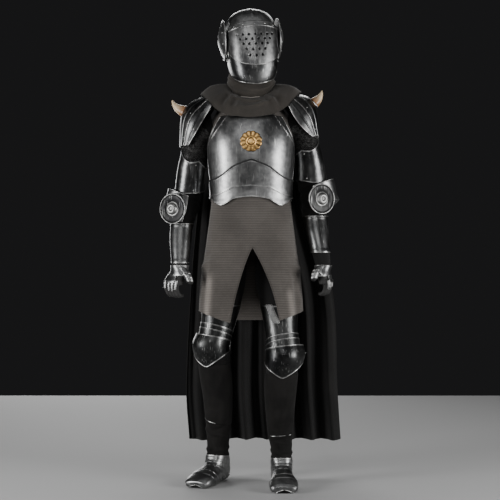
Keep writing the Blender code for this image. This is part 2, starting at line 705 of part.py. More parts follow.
def make_cuirass():
    """Breastplate with gussets, plackart, fauld, backplate and rosette."""
    breast_out = SEAT_TRUNK + PLATE + 5 * LAP
    plackart_out = breast_out + PLATE + 3 * LAP
    rosette_out = breast_out + PLATE + 2 * LAP
    bottom, top = 1.160, 1.475

    def breastplate(share, height):
        angle = share * blend(BREAST_SPAN, height)[0]
        if height == bottom:
            height = blend(WAIST_EDGES, abs(angle))[1] + 4 * LAP
        return chest(height, angle, breast_out)

    def plackart(angle, v):
        upper, _, lower, _ = blend(WAIST_EDGES, abs(angle))
        return chest(mix(lower, upper, v), angle, plackart_out)

    def fauld(angle, v):
        _, upper, _, lower = blend(WAIST_EDGES, abs(angle))
        return chest(mix(lower, upper, v), angle, breast_out)

    def backplate(share, height):
        span = mix(84.0, 50.0, max(0.0, (height - 1.33) / 0.14) ** 0.7)
        point = trunk(height, 180 + share * span, SEAT_TRUNK + 6 * LAP)
        point.y += 0.012 * math.sin(math.pi * (height - 1.13) / 0.34) * (1 - share**2)
        return point

    breast_rows = [bottom, 1.215, 1.28, *ARMHOLE_ROWS, top]
    plate("breastplate", breastplate, spread(-1, 1, 16), breast_rows)
    plate("plackart", plackart, spread(-86, 86, 16), [0, 0.5, 1])
    plate("fauld", fauld, spread(-84, 84, 16), [0, 1])
    plate("backplate", backplate, spread(-1, 1, 14), stations(TRUNK, 1.131, 1.469))

    for side, sign in SIDES.items():

        def gusset(share, height):
            start = blend(BREAST_SPAN, height)[0] - 5.0
            width = mix(15.0, 20.0, (height - 1.35) / 0.11)
            return chest(height, sign * (start + width * share), SEAT_TRUNK)

        plate("gusset_" + side, gusset, spread(0, 1, 3), ARMHOLE_ROWS, mirrored=sign < 0)

    def rosette(turn, share):
        turn = -math.radians(turn)
        radius = 0.001 + share * ROSETTE_RADIUS
        height = ROSETTE_HEIGHT + radius * math.sin(turn)
        aside = radius * math.cos(turn) / blend(TRUNK, height)[0]
        angle = math.degrees(math.asin(math.copysign(abs(aside) ** (TRUNK_POWER / 2), aside)))
        return chest(height, angle, rosette_out)

    boss = plate("rosette", rosette, ROUND, [0, 0.5, 1], BRASS)
    boss.modifiers["Wall"].thickness = ROSETTE_DEPTH


def make_tunic():
    """Front and back of the tunic, seamed at the sides, with a slit in front and cut armholes."""
    seam = 89.9
    heights = stations(TRUNK, TUNIC_HEM, TUNIC_TOP)

    def panel(angle, height):
        """The trunk's surface, with a hem that is cut higher at the sides."""
        rise = HEM_RISE * math.sin(math.radians(angle)) ** 2 if height == TUNIC_HEM else 0.0
        return trunk(height + rise, angle)

    def right_front(share, height):
        return panel(mix(-seam, blend(SLIT, height)[0], share), height)

    def left_front(share, height):
        return panel(mix(blend(SLIT, height)[1], seam, share), height)

    halves = [net_of(half, spread(0, 1, 7), heights, False) for half in (right_front, left_front)]
    front = shell("tunic_front", halves, CLOTH, KNIT, suit, -1.0)
    back = cloth("tunic_back", panel, spread(180 - seam, 180 + seam, 13), heights, KNIT)
    for side, sign in SIDES.items():
        hole = solid_tube(
            "armhole_" + side,
            lambda angle, station, side=side: arm(side, station, angle, MAIL_SEAT + MAIL_RING + 4 * LAP),
            stations(ARM[side], MAIL_BOTTOM[side], ARMHOLE_TOP),
            sign < 0,
        )
        use_tool(front, hole)
        use_tool(back, hole)


def make_pauldrons():
    """Cap of each shoulder over its front and back lames, with the horn on its point."""
    for side, sign in SIDES.items():
        rows = [1 - row[0] for row in reversed(PAULDRON[side])]
        mirrored = sign < 0

        def cap(angle, v):
            return pauldron(side, 1 - v, -angle, PLATE + 3 * LAP)

        def lame(angle, v):
            return pauldron(side, 1 - v, -angle)

        plate("pauldron_cap_" + side, cap, spread(-CAP_EDGE, CAP_EDGE, 8), rows, mirrored=mirrored)
        plate("pauldron_front_" + side, lame, spread(-90, -LAME_EDGE, 3), rows, mirrored=mirrored)
        plate("pauldron_back_" + side, lame, spread(LAME_EDGE, 90, 3), rows, mirrored=mirrored)

        def horn(angle, step):
            out_x, height, radius = blend(HORN[side], step)
            ahead = blend(HORN[side], min(1.0, step + 0.05))
            behind = blend(HORN[side], max(0.0, step - 0.05))
            run = Vector((ahead[0] - behind[0], 0, ahead[1] - behind[1])).normalized()
            sine, cosine = oval(angle, 2.0)
            offset = Vector((run.z, 0, -run.x)) * radius * sine + Vector((0, -radius * cosine, 0))
            return Vector((sign * (out_x + offset.x), offset.y, height + offset.z))

        tusk = solid_tube("horn_" + side, horn, [row[0] for row in HORN[side]], mirrored)
        place(tusk, suit, HORN_IVORY)


def make_arms():
    """Arming sleeve, mail and the plates over them, from the armhole to the wrist."""
    for side, sign in SIDES.items():
        brace_top, dip, brace_bottom, elbow, fore_top, fore_bottom, wrist, reach, slide = ARM_LEVELS[side]
        rows = ARM[side]
        mirrored = sign < 0

        def sleeve(angle, station):
            return arm(side, station, angle)

        def mail(angle, station):
            return arm(side, station, angle, MAIL_SEAT)

        def rerebrace(angle, v):
            inward = max(0.0, -math.sin(math.radians(angle)))
            frontal = max(0.0, math.cos(math.radians(angle)))
            top = brace_top - 0.034 - dip * max(inward, 0.6 * frontal)
            bottom = brace_bottom + 0.012 * (1 - frontal if side == "right" else inward)
            return arm(side, mix(bottom, top, v), angle, MAIL_SEAT + MAIL_RING + 4 * LAP)

        def couter(angle, rise):
            outward = max(0.0, math.sin(math.radians(angle / 202.5 * 180)))
            crest = COUTER_CREST * (1 - abs(rise)) ** 0.9 * outward**1.5
            flare = COUTER_FLARE * max(0.0, rise) * outward
            height = elbow + rise * mix(COUTER_REACH, COUTER_TOP, outward * max(0.0, rise))
            return arm(side, height, angle, mix(0.0020, 0.0068, (rise + 1) / 2) + crest + flare)

        def vambrace(angle, station):
            return arm(side, station, angle, SEAT)

        sleeve_rows = stations(rows, wrist + LAP, ARM_TOP)
        mail_rows = stations(rows, MAIL_BOTTOM[side], MAIL_TOP[side])
        fore_rows = stations(rows, fore_bottom, fore_top)
        cloth("arming_sleeve_" + side, sleeve, ROUND, sleeve_rows, BLACK_CLOTH, mirrored=mirrored)
        skirt = cloth("mail_sleeve_" + side, mail, ROUND, mail_rows, MAIL, mirrored=mirrored)
        skirt.modifiers["Wall"].offset = 1.0
        skirt.modifiers["Wall"].thickness = MAIL_RING
        brace_span, fore_span = spread(-157.5, 157.5, 14), spread(-157.5, 180, 15)
        plate("rerebrace_" + side, rerebrace, brace_span, spread(0, 1, 3), mirrored=mirrored)
        plate("couter_" + side, couter, spread(0, 202.5, 9), spread(-1, 1, 6), mirrored=mirrored)
        plate("vambrace_" + side, vambrace, fore_span, fore_rows, mirrored=mirrored)
        disc = (
            (0.0200, 0.0),
            (0.0185, 0.014),
            (0.0135, 0.0235),
            (0.0065, 0.026),
            (0.0035, 0.050),
            (0.0075, 0.057),
            (0.0060, 0.0610),
            (0.0000, 0.0590),
            (0.0000, 0.010),
            (-0.0060, 0.010),
            (-0.0060, 0.0),
        )
        out_x, y = blend(rows, elbow)[:2]
        ahead, aside = math.cos(math.radians(30)), math.sin(math.radians(30))
        facing = Vector((sign * aside, -ahead, 0))
        along_disc = Vector((sign * ahead, aside, 0))
        basis = Matrix.Identity(4)
        basis.col[0].xyz = facing
        basis.col[1].xyz = Vector((0, 0, 1)).cross(facing)
        basis.col[2].xyz = (0, 0, 1)
        basis.col[3].xyz = Vector((sign * out_x, y, elbow)) + facing * reach + along_disc * slide
        turned("couter_disc_" + side, disc, 16, STEEL, suit, basis)


def make_hands():
    """Glove and thumb, closed at the tips, with the plates on their backs."""
    for side, sign in SIDES.items():
        steps = [row[0] for row in HAND[side]]
        mirrored = sign < 0
        tip = (hand(side, 1.0, 0) + hand(side, 1.0, 180)) / 2

        def glove(angle, back_step):
            return tip.copy() if back_step < 0 else hand(side, 1 - back_step, angle)

        def back_plate(angle, back_step):
            return hand(side, 1 - back_step, angle, SEAT)

        def fingers(angle, back_step):
            return hand(side, 1 - back_step, angle, SEAT + PLATE + 3 * LAP)

        def digit(angle, back_step):
            return thumb(side, 1 - back_step, angle)

        back_steps = [1 - step for step in reversed(steps)]
        skin = cloth("glove_" + side, glove, ROUND, [-1, *back_steps], BLACK_LEATHER, mirrored=mirrored)
        use_tool(skin, solid_tube("thumb_" + side, digit, [0, 0.5, 1], mirrored), "UNION")
        knuckles = [1 - step for step in (0.60, 0.40, 0.20, 0.04)]
        plate("gauntlet_back_" + side, back_plate, spread(22.5, 157.5, 6), knuckles, mirrored=mirrored)
        tips = [1 - step for step in (0.96, 0.88, 0.75, 0.60)]
        plate("gauntlet_fingers_" + side, fingers, spread(22.5, 157.5, 6), tips, mirrored=mirrored)


def make_legs():
    """Hose, thigh plate, knee plates and greave of each leg."""
    around = spread(-112.5, 112.5, 10)
    for side, sign in SIDES.items():
        knee, thigh_top, shin_top, shin_bottom = LEG_LEVELS[side]
        rows = LEG[side]
        mirrored = sign < 0

        def hose(angle, height):
            return leg(side, height, angle)

        def cuisse(angle, height):
            return leg(side, height, angle, SEAT)

        def lames(angle, height):
            return leg(side, height, angle, SEAT + PLATE + 4 * LAP)

        def greave(angle, height):
            return leg(side, height, angle, SEAT + LEATHER)

        def poleyn(angle, v):
            frontal = max(0.0, math.cos(math.radians(angle * 0.8)))
            bottom = knee - mix(POLEYN_SIDE, POLEYN_POINT, frontal)
            height = mix(bottom, knee + POLEYN_TOP, v)
            rise = (height - knee) / 0.08
            knob = KNOB * math.exp(-(rise**2) * 1.6) * frontal**2
            aside = (angle - WING_ANGLE) / 24
            wing = WING * math.exp(-(aside**2)) * math.exp(-((rise - 0.1) ** 2) * 3)
            return leg(side, height, angle, SEAT + 2 * PLATE + 7 * LAP + knob + wing)

        ends = {knee + CUISSE_LOW, thigh_top, shin_top}
        hose_rows = sorted(ends.union(stations(rows, shin_top - HOSE_IN_GREAVE, HOSE_TOP)))
        cloth("hose_" + side, hose, ROUND, hose_rows, BLACK_CLOTH, mirrored=mirrored)
        thigh_rows = stations(rows, knee + CUISSE_LOW, thigh_top)
        lame_rows = stations(rows, knee + LAMES_LOW, knee + LAMES_HIGH)
        shin_rows = stations(rows, shin_bottom, shin_top)
        plate("cuisse_" + side, cuisse, around, thigh_rows, mirrored=mirrored)
        plate("poleyn_lames_" + side, lames, around, lame_rows, mirrored=mirrored)
        plate("poleyn_" + side, poleyn, around, spread(0, 1, 5), mirrored=mirrored)
        cloth("greave_" + side, greave, ROUND, shin_rows, SUEDE, LEATHER, mirrored)


def make_feet():
    """Suede boot with its shaft, and the two plates over the instep and the toes."""
    over_foot = spread(-135, 135, 12)
    for side, sign in SIDES.items():
        mirrored = sign < 0
        tip = (foot(side, 1.0, 0) + foot(side, 1.0, 180)) / 2
        turn = math.radians(LEG_TURN[side])
        forward = Vector((sign * math.sin(turn), -math.cos(turn), 0))
        shaft = stations(LEG[side], LEG[side][1][0], BOOT_TOP)
        steps = [row[0] for row in FOOT]

        def boot(angle, place_up):
            if place_up < 0:
                return tip.copy()
            if place_up > 1:
                return leg(side, place_up - 1, angle)
            return foot(side, 1 - place_up, angle)

        def upper(angle, place_up):
            return foot(side, 1 - place_up, angle, SEAT)

        def toe(angle, place_up):
            out = SEAT + PLATE + 3 * LAP
            if place_up < 0:
                return tip + forward * out
            return foot(side, 1 - place_up, angle, out) + forward * out * max(0.0, 1 - 8 * place_up)

        up_foot = [1 - step for step in reversed(steps)]
        cloth(
            "boot_" + side,
            boot,
            ROUND,
            [-1, *up_foot, *(1 + height for height in shaft)],
            SUEDE,
            LEATHER,
            mirrored,
        )
        upper_steps = [0.15, 0.30, 0.45, 0.58, 0.70]
        toe_steps = [-1, 0, 0.05, 0.15, 0.30]
        plate("sabaton_upper_" + side, upper, over_foot, upper_steps, mirrored=mirrored)
        plate("sabaton_toe_" + side, toe, over_foot, toe_steps, mirrored=mirrored)


def make_cape():
    """Cape that hangs down the back in soft folds."""

    def cape(share, height):
        right_edge, left_edge, y, fold = blend(CAPE, height)
        wave = fold * math.sin(math.tau * CAPE_FOLDS * share + 0.6)
        wrap = -0.03 * (2 * share - 1) ** 2
        return Vector((mix(right_edge, left_edge, share), y + wave + wrap, height))

    heights = [row[0] for row in CAPE]
    shell("cape", [net_of(cape, spread(0, 1, 26), heights, True)], CLOTH, BLACK_CLOTH, suit, 1.0)


for leftover in list(bpy.data.objects):
    bpy.data.objects.remove(leftover)
suit_parts = bpy.data.collections.new("Suit of plate armour")
cutters = bpy.data.collections.new("Cutters")
bpy.context.scene.collection.children.link(suit_parts)
bpy.context.scene.collection.children.link(cutters)

suit = bpy.data.objects.new("Suit", None)
helmet = bpy.data.objects.new("Helmet", None)
visor_pivot = bpy.data.objects.new("Visor pivot", None)
for empty, carrier in ((suit, None), (helmet, suit), (visor_pivot, helmet)):
    suit_parts.objects.link(empty)
    empty.parent = carrier
suit.location.z = -SHOULDER_HEIGHT
helmet.location = HELMET_PIVOT
helmet.rotation_euler = (0, math.radians(HELMET_ROLL), math.radians(HELMET_YAW))

make_helmet()
make_neck()
make_cuirass()
make_tunic()
make_pauldrons()
make_arms()
make_hands()
make_legs()
make_feet()
make_cape()
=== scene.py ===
"""Looks of a suit of plate armour over knitted and leather clothes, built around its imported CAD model."""

import math
from contextlib import contextmanager
from types import SimpleNamespace

import bmesh
import bpy
from mathutils import Euler, Matrix, Vector


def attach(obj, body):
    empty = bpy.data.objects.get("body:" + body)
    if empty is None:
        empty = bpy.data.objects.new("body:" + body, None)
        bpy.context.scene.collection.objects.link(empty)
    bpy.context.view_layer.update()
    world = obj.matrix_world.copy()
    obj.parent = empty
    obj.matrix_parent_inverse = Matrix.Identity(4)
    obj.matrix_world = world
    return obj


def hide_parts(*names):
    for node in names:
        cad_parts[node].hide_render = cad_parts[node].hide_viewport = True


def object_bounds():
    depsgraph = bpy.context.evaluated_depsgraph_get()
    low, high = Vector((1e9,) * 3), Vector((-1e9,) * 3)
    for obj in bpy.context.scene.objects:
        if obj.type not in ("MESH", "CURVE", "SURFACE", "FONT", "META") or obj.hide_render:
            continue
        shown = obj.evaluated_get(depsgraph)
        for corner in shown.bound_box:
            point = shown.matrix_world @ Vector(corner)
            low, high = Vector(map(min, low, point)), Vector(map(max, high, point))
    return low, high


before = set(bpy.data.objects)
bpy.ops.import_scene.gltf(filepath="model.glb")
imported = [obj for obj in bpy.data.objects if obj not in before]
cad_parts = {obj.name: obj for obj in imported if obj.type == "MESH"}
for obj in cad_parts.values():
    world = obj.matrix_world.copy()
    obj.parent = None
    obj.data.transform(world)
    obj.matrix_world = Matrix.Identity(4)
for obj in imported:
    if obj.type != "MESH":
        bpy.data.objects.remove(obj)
cad_low, cad_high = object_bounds()

# Camera: level, at the photograph's height and distance, looking along +Y. The ground lies 1.5 m below the
# origin, which is on the shoulder line, and every table below gives heights above that ground.
GROUND = -1.50
CAMERA_DISTANCE, CAMERA_HEIGHT = 5, 0.935
camera = bpy.data.objects.new("Camera", bpy.data.cameras.new("Camera"))
camera.data.sensor_width = 36
camera.data.lens = 90
camera.location = (0, -CAMERA_DISTANCE, GROUND + CAMERA_HEIGHT)
camera.rotation_euler = (math.radians(90), 0, 0)
bpy.context.collection.objects.link(camera)
bpy.context.scene.camera = camera


# Floor and light: a pale matt floor in a dark room, two tall soft boxes at the suit's sides, a high one and a
# small low one in front, one overhead, and a narrow and a wide one behind. The camera doesn't see the boxes.
ROOM_TONE = (0.011, 0.011, 0.0115, 1)
FLOOR_TONE = (0.33, 0.33, 0.33, 1)
FLOOR_GAP = 0.0005
# Soft boxes: name, place above the ground, size, power, height of the aim.
SOFT_BOXES = (
    ("right_soft_box", (-2.6, -1.4, 0.9), (0.8, 1.7), 92, 1.0),
    ("left_soft_box", (2.7, -1.4, 0.9), (1.3, 1.7), 110, 1.0),
    ("front_soft_box", (-0.6, -4.2, 3.5), (2.4, 1.4), 40, 1.0),
    ("low_front_soft_box", (0.15, -4.8, 2.0), (0.6, 0.6), 14, 1.0),
    ("top_soft_box", (0.0, -0.9, 3.6), (2.6, 1.6), 9, 1.0),
    ("back_soft_box", (0.2, 2.6, 3.2), (2.0, 0.5), 40, 1.4),
    ("rear_soft_box", (-1.2, 4.4, 1.5), (2.6, 1.8), 75, 1.0),
)
for name, (x, y, up), size, power, aim in SOFT_BOXES:
    lamp = bpy.data.lights.new(name, "AREA")
    lamp.shape = "RECTANGLE"
    lamp.size, lamp.size_y = size
    lamp.energy = power
    box = bpy.data.objects.new(name, lamp)
    box.location = (x, y, GROUND + up)
    box.rotation_euler = (Vector((0, 0, GROUND + aim)) - box.location).to_track_quat("-Z", "Y").to_euler()
    box.visible_camera = False
    bpy.context.collection.objects.link(box)

room = bpy.data.worlds.new("Room")
room.use_nodes = True
room.node_tree.nodes["Background"].inputs["Color"].default_value = ROOM_TONE
bpy.context.scene.world = room
floor_mesh = bpy.data.meshes.new("floor")
floor_corners = [(x, y, cad_low[2] - FLOOR_GAP) for x, y in ((-3, -6), (3, -6), (3, 3), (-3, 3))]
floor_mesh.from_pydata(floor_corners, [], [(0, 1, 2, 3)])
floor_finish = bpy.data.materials.new("floor_finish")
floor_finish.use_nodes = True
floor_finish.node_tree.nodes["Principled BSDF"].inputs["Base Color"].default_value = FLOOR_TONE
floor_finish.node_tree.nodes["Principled BSDF"].inputs["Roughness"].default_value = 0.8
floor_mesh.materials.append(floor_finish)
floor = bpy.data.objects.new("floor", floor_mesh)
bpy.context.collection.objects.link(floor)


# Tunic: two heavy panels knitted in fine level ribs, seamed at the sides, with cut armholes, a bound hem and
# a slit in front. It hangs straight from the chest and creases softly, with a painted highlight over the
# thighs.
SIDES = {"right": -1, "left": 1}
CLOTH = 0.0020
TUNIC_HEM, TUNIC_TOP, SLIT_TOP = 0.648, 1.548, 0.947
# Hem: how far it rises at each side, half width of its level part, and half width where it ends.
HEM_RISE, HEM_LEVEL, HEM_SPREAD = 0.045, 0.070, 0.205
HEM_BINDING = 0.0016
RIB_ROWS = 272
RIB_DEPTH = 0.0010
SEAM_GAP = 0.1
# Width and length of the front's cut, both halves together.
FRONT_CUT = (0.58, 0.93)
TRUNK_X = 0.004
TRUNK_POWER = 2.35
# Trunk: height, half_width, front, back.
TRUNK = (
    (0.62, 0.2090, 0.167, 0.152),
    (0.70, 0.2085, 0.161, 0.150),
    (0.80, 0.2030, 0.150, 0.147),
    (0.875, 0.1930, 0.141, 0.143),
    (0.96, 0.1800, 0.132, 0.137),
    (1.13, 0.1590, 0.118, 0.123),
    (1.20, 0.1600, 0.120, 0.120),
    (1.28, 0.1670, 0.128, 0.120),
    (1.36, 0.1710, 0.130, 0.120),
    (1.42, 0.1660, 0.122, 0.116),
    (1.47, 0.1480, 0.108, 0.108),
    (1.51, 0.1180, 0.092, 0.098),
    (1.56, 0.0862, 0.0785, 0.084),
)
# Slit: height, right_edge, left_edge, as angles round the trunk.
SLIT = (
    (0.620, -21.5, 31.5),
    (0.760, -13.5, 22.0),
    (0.860, -6.5, 12.0),
    (SLIT_TOP, 0.9, 0.9),
)
# Creases: angle, height, reach in degrees, slope in metres per degree, width, depth (outward if positive).
TUNIC_CREASES = (
    (-50.0, 0.892, 18.0, 0.00060, 0.0095, 0.0078),
    (-40.0, 0.868, 15.0, 0.00035, 0.0075, -0.0050),
    (-34.0, 0.842, 17.0, -0.00050, 0.0095, 0.0052),
    (-62.0, 0.918, 13.0, 0.00090, 0.0080, -0.0034),
    (-18.0, 0.893, 9.0, -0.00130, 0.0070, 0.0034),
    (-76.0, 0.870, 12.0, 0.00060, 0.0120, 0.0062),
    (50.0, 0.876, 18.0, -0.00070, 0.0095, 0.0074),
    (40.0, 0.850, 14.0, -0.00040, 0.0075, -0.0048),
    (58.0, 0.824, 16.0, 0.00050, 0.0100, 0.0054),
    (66.0, 0.900, 12.0, -0.00080, 0.0080, -0.0034),
    (24.0, 0.903, 9.0, 0.00140, 0.0070, 0.0032),
    (78.0, 0.862, 11.0, -0.00060, 0.0120, 0.0060),
    (-53.0, 0.770, 3.6, 0.0010, 0.1000, 0.0090),
    (-40.0, 0.735, 5.0, 0.0060, 0.0600, 0.0050),
    (-63.0, 0.760, 4.5, 0.0030, 0.0700, -0.0045),
    (-30.0, 0.735, 4.5, 0.0060, 0.0550, -0.0036),
    (47.0, 0.750, 3.6, -0.0010, 0.0850, 0.0088),
    (57.0, 0.765, 4.0, -0.0030, 0.0650, -0.0044),
    (66.0, 0.725, 5.0, 0.0050, 0.0550, 0.0050),
    (34.0, 0.790, 4.0, -0.0060, 0.0500, -0.0030),
    (-10.0, 1.000, 4.5, 0.0030, 0.0500, 0.0026),
    (28.0, 1.010, 4.5, -0.0030, 0.0550, 0.0028),
    (-36.0, 1.005, 4.0, 0.0030, 0.0450, 0.0026),
    (150.0, 0.885, 20.0, 0.00040, 0.0090, 0.0060),
    (172.0, 0.862, 16.0, -0.00060, 0.0080, 0.0048),
    (-154.0, 0.878, 18.0, 0.00050, 0.0090, 0.0062),
    (128.0, 0.850, 14.0, -0.00050, 0.0080, 0.0044),
    (140.0, 0.730, 6.0, 0.0060, 0.0700, 0.0075),
    (168.0, 0.720, 5.0, -0.0070, 0.0600, 0.0060),
    (-164.0, 0.740, 6.0, 0.0060, 0.0600, 0.0064),
    (-138.0, 0.725, 6.0, -0.0060, 0.0700, 0.0072),
)


class Value:
    """A node's output, so that sums on it are written as arithmetic."""

    def __init__(self, nodes, socket):
        self.nodes = nodes
        self.socket = socket

    def maths(self, operation, first, second=0.0):
        return self.nodes.node("ShaderNodeMath", {"operation": operation}, {0: first, 1: second})

    def __add__(self, other):
        return self.maths("ADD", self, other)

    def __rsub__(self, other):
        return self.maths("SUBTRACT", other, self)

    def __mul__(self, other):
        return self.maths("MULTIPLY", self, other)

    def __truediv__(self, other):
        return self.maths("DIVIDE", self, other)

    __radd__ = __add__
    __rmul__ = __mul__

    def floor(self):
        return self.maths("FLOOR", self)

    def wave(self):
        """0 to 1 and back once for each whole step of the value."""
        return self.maths("COSINE", self * math.tau) * 0.5 + 0.5

    def band(self, low, high):
        """0 below low, 1 above high, smooth between."""
        settings = {"interpolation_type": "SMOOTHSTEP"}
        ends = {"Value": self, "From Min": low, "From Max": high}
        return self.nodes.node("ShaderNodeMapRange", settings, ends)

    def blend(self, low, high):
        """A colour between two, by this value; each is a colour or a node's output."""
        pair = [(*c, 1.0) if isinstance(c, tuple) else c for c in (low, high)]
        settings = {"data_type": "RGBA"}
        return self.nodes.node("ShaderNodeMix", settings, {0: self, 6: pair[0], 7: pair[1]}, 2)


class Nodes:
    """A node tree and the one way in which nodes are added to it."""

    def __init__(self, tree):
        self.tree = tree

    def node(self, kind, settings=None, sockets=None, output=0):
        made = self.tree.nodes.new(kind)
        for key, value in (settings or {}).items():
            setattr(made, key, value)
        for key, value in (sockets or {}).items():
            if isinstance(value, Value):
                self.tree.links.new(value.socket, made.inputs[key])
            else:
                made.inputs[key].default_value = value
        return Value(self, made.outputs[output])

    def noise(self, scale, detail=3.0, roughness=0.55, stretch=(1.0, 1.0, 1.0), shift=0.0):
        """Cloudy noise on the object's own coordinates, near 0.5 on average."""
        place = self.node("ShaderNodeTexCoord", output=3)
        sockets = {"Vector": place, "Scale": stretch, "Location": (shift, shift, shift)}
        moved = self.node("ShaderNodeMapping", sockets=sockets)
        sockets = {"Vector": moved, "Scale": scale, "Detail": detail, "Roughness": roughness}
        return self.node("ShaderNodeTexNoise", sockets=sockets)

    def surface(self):
        """Both directions along a surface, in metres, from its own map."""
        flat = self.node("ShaderNodeUVMap", {"uv_map": "surface"})
        both = self.node("ShaderNodeSeparateXYZ", sockets={0: flat})
        return both, Value(self, both.socket.node.outputs[1])

    def attribute(self, name):
        return self.node("ShaderNodeAttribute", {"attribute_name": name}, output=2)


class Finish(Nodes):
    """A material on one Principled shader, whose plain numbers are set on the shader itself."""

    def __init__(self, name, **values):
        self.material = bpy.data.materials.new(name)
        self.material.use_nodes = True
        super().__init__(self.material.node_tree)
        self.shader = self.tree.nodes["Principled BSDF"]
        for key, value in values.items():
            self.shader.inputs[key.replace("_", " ")].default_value = value

    def feed(self, **links):
        for key, value in links.items():
            self.tree.links.new(value.socket, self.shader.inputs[key.replace("_", " ")])

    def bump(self, height, distance, strength=1.0):
        """Feeds the shader's normal with a relief given as 0 to 1 times a depth in metres."""
        sockets = {"Height": height, "Distance": distance, "Strength": strength}
        self.feed(Normal=self.node("ShaderNodeBump", sockets=sockets))


STITCH = 0.0055
# Painted shade in the rib grooves, as a share of the dark tone, and the gain of the painted highlight's
# colour over the light tone.
GROOVE_PAINTED_SHADE, THIGH_HIGHLIGHT_GAIN = 0.42, 2.3


def knit(name, dark, light):
    """Matt wool in level ribs with a stitch along each, faded in clouds and fuzzy with loose fibres.
    Painted shade darkens the grooves between ribs, and a painted highlight pales it where marked.
    """
    finish = Finish(name, Roughness=0.95, Sheen_Weight=0.10, Sheen_Roughness=0.6, Specular_IOR_Level=0.15)
    across, _ = finish.surface()
    course = finish.attribute("course")
    rib = (course + 0.5).wave()
    stitch = (across / STITCH + course.floor() * 0.5).wave()
    fade = finish.noise(5.0, 4.0, 0.6)
    fuzz = finish.noise(420.0, 4.0, 0.75)
    tone = (fade * 0.6 + fuzz * 0.4).band(0.32, 0.68)
    # Painted shade: the grooves between ribs are coloured darker, as a share of the dark tone.
    painted_groove_shade = tuple(GROOVE_PAINTED_SHADE * part for part in dark)
    base = (rib * 0.60 + stitch * 0.20 + 0.20).blend(painted_groove_shade, tone.blend(dark, light))
    # Painted highlight: where the vertices are marked, the knit is painted paler, most on the ribs.
    rubbed = finish.attribute("rubbed") * (0.55 + 0.45 * rib)
    finish.feed(Base_Color=rubbed.blend(base, tuple(THIGH_HIGHLIGHT_GAIN * part for part in light)))
    finish.bump(rib * 0.6 + stitch * 0.25 + fuzz * 0.5, 0.0010, 0.7)
    return finish.material


TUNIC_KNIT = knit("tunic_knit", (0.060, 0.053, 0.047), (0.124, 0.112, 0.101))


def blend(rows, at):
    """Values of a table at a position in its first column, on a smooth curve through its rows."""
    at = min(max(at, rows[0][0]), rows[-1][0])
    low = max(k for k in range(len(rows) - 1) if rows[k][0] <= at)
    first, second = rows[low], rows[low + 1]
    before, after = rows[max(low - 1, 0)], rows[min(low + 2, len(rows) - 1)]
    span = second[0] - first[0]
    t = (at - first[0]) / span
    values = []
    for column in range(1, len(first)):
        start = (second[column] - before[column]) / (second[0] - before[0]) * span
        end = (after[column] - first[column]) / (after[0] - first[0]) * span
        values.append(
            (2 * t**3 - 3 * t**2 + 1) * first[column]
            + (t**3 - 2 * t**2 + t) * start
            + (3 * t**2 - 2 * t**3) * second[column]
            + (t**3 - t**2) * end
        )
    return values


def mix(low, high, share):
    return low + (high - low) * share


def ease(low, high, at):
    """0 below low, 1 above high, smooth between."""
    share = min(max((at - low) / (high - low), 0.0), 1.0)
    return share * share * (3 - 2 * share)


def hump(at, middle, width):
    """1 at the middle, falling smoothly to 0 over about two widths."""
    return math.exp(-(((at - middle) / width) ** 2))


def spread(low, high, steps):
    """Evenly spaced values, both ends included."""
    return [mix(low, high, k / steps) for k in range(steps + 1)]


def turn_of(steps):
    """Angles once round, without the last."""
    return [360.0 * k / steps for k in range(steps)]


def oval(angle, power):
    """Sine and cosine of an angle in degrees, squared off where the power is over 2."""
    sine, cosine = math.sin(math.radians(angle)), math.cos(math.radians(angle))
    return (
        math.copysign(abs(sine) ** (2 / power), sine),
        math.copysign(abs(cosine) ** (2 / power), cosine),
    )


def creased(rows, angle, at):
    """How far creases push a surface out at an angle and height."""
    total = 0.0
    for middle, level, reach, slope, width, depth in rows:
        aside = (angle - middle + 180) % 360 - 180
        if abs(aside) < 2.5 * reach:
            total += depth * hump(aside, 0.0, reach) * hump(at, level + slope * aside, width)
    return total


def above_ground(place):
    """A piece's own place, if it has one, and then the drop from heights above the ground to the frame."""
    return Matrix.Translation((0, 0, GROUND)) @ (place or Matrix.Identity(4))


@contextmanager
def reshaped(mesh):
    """Opens a mesh as a net of vertices, edges and faces, and writes it back at the end."""
    net = bmesh.new()
    net.from_mesh(mesh)
    yield net
    net.to_mesh(mesh)
    net.free()


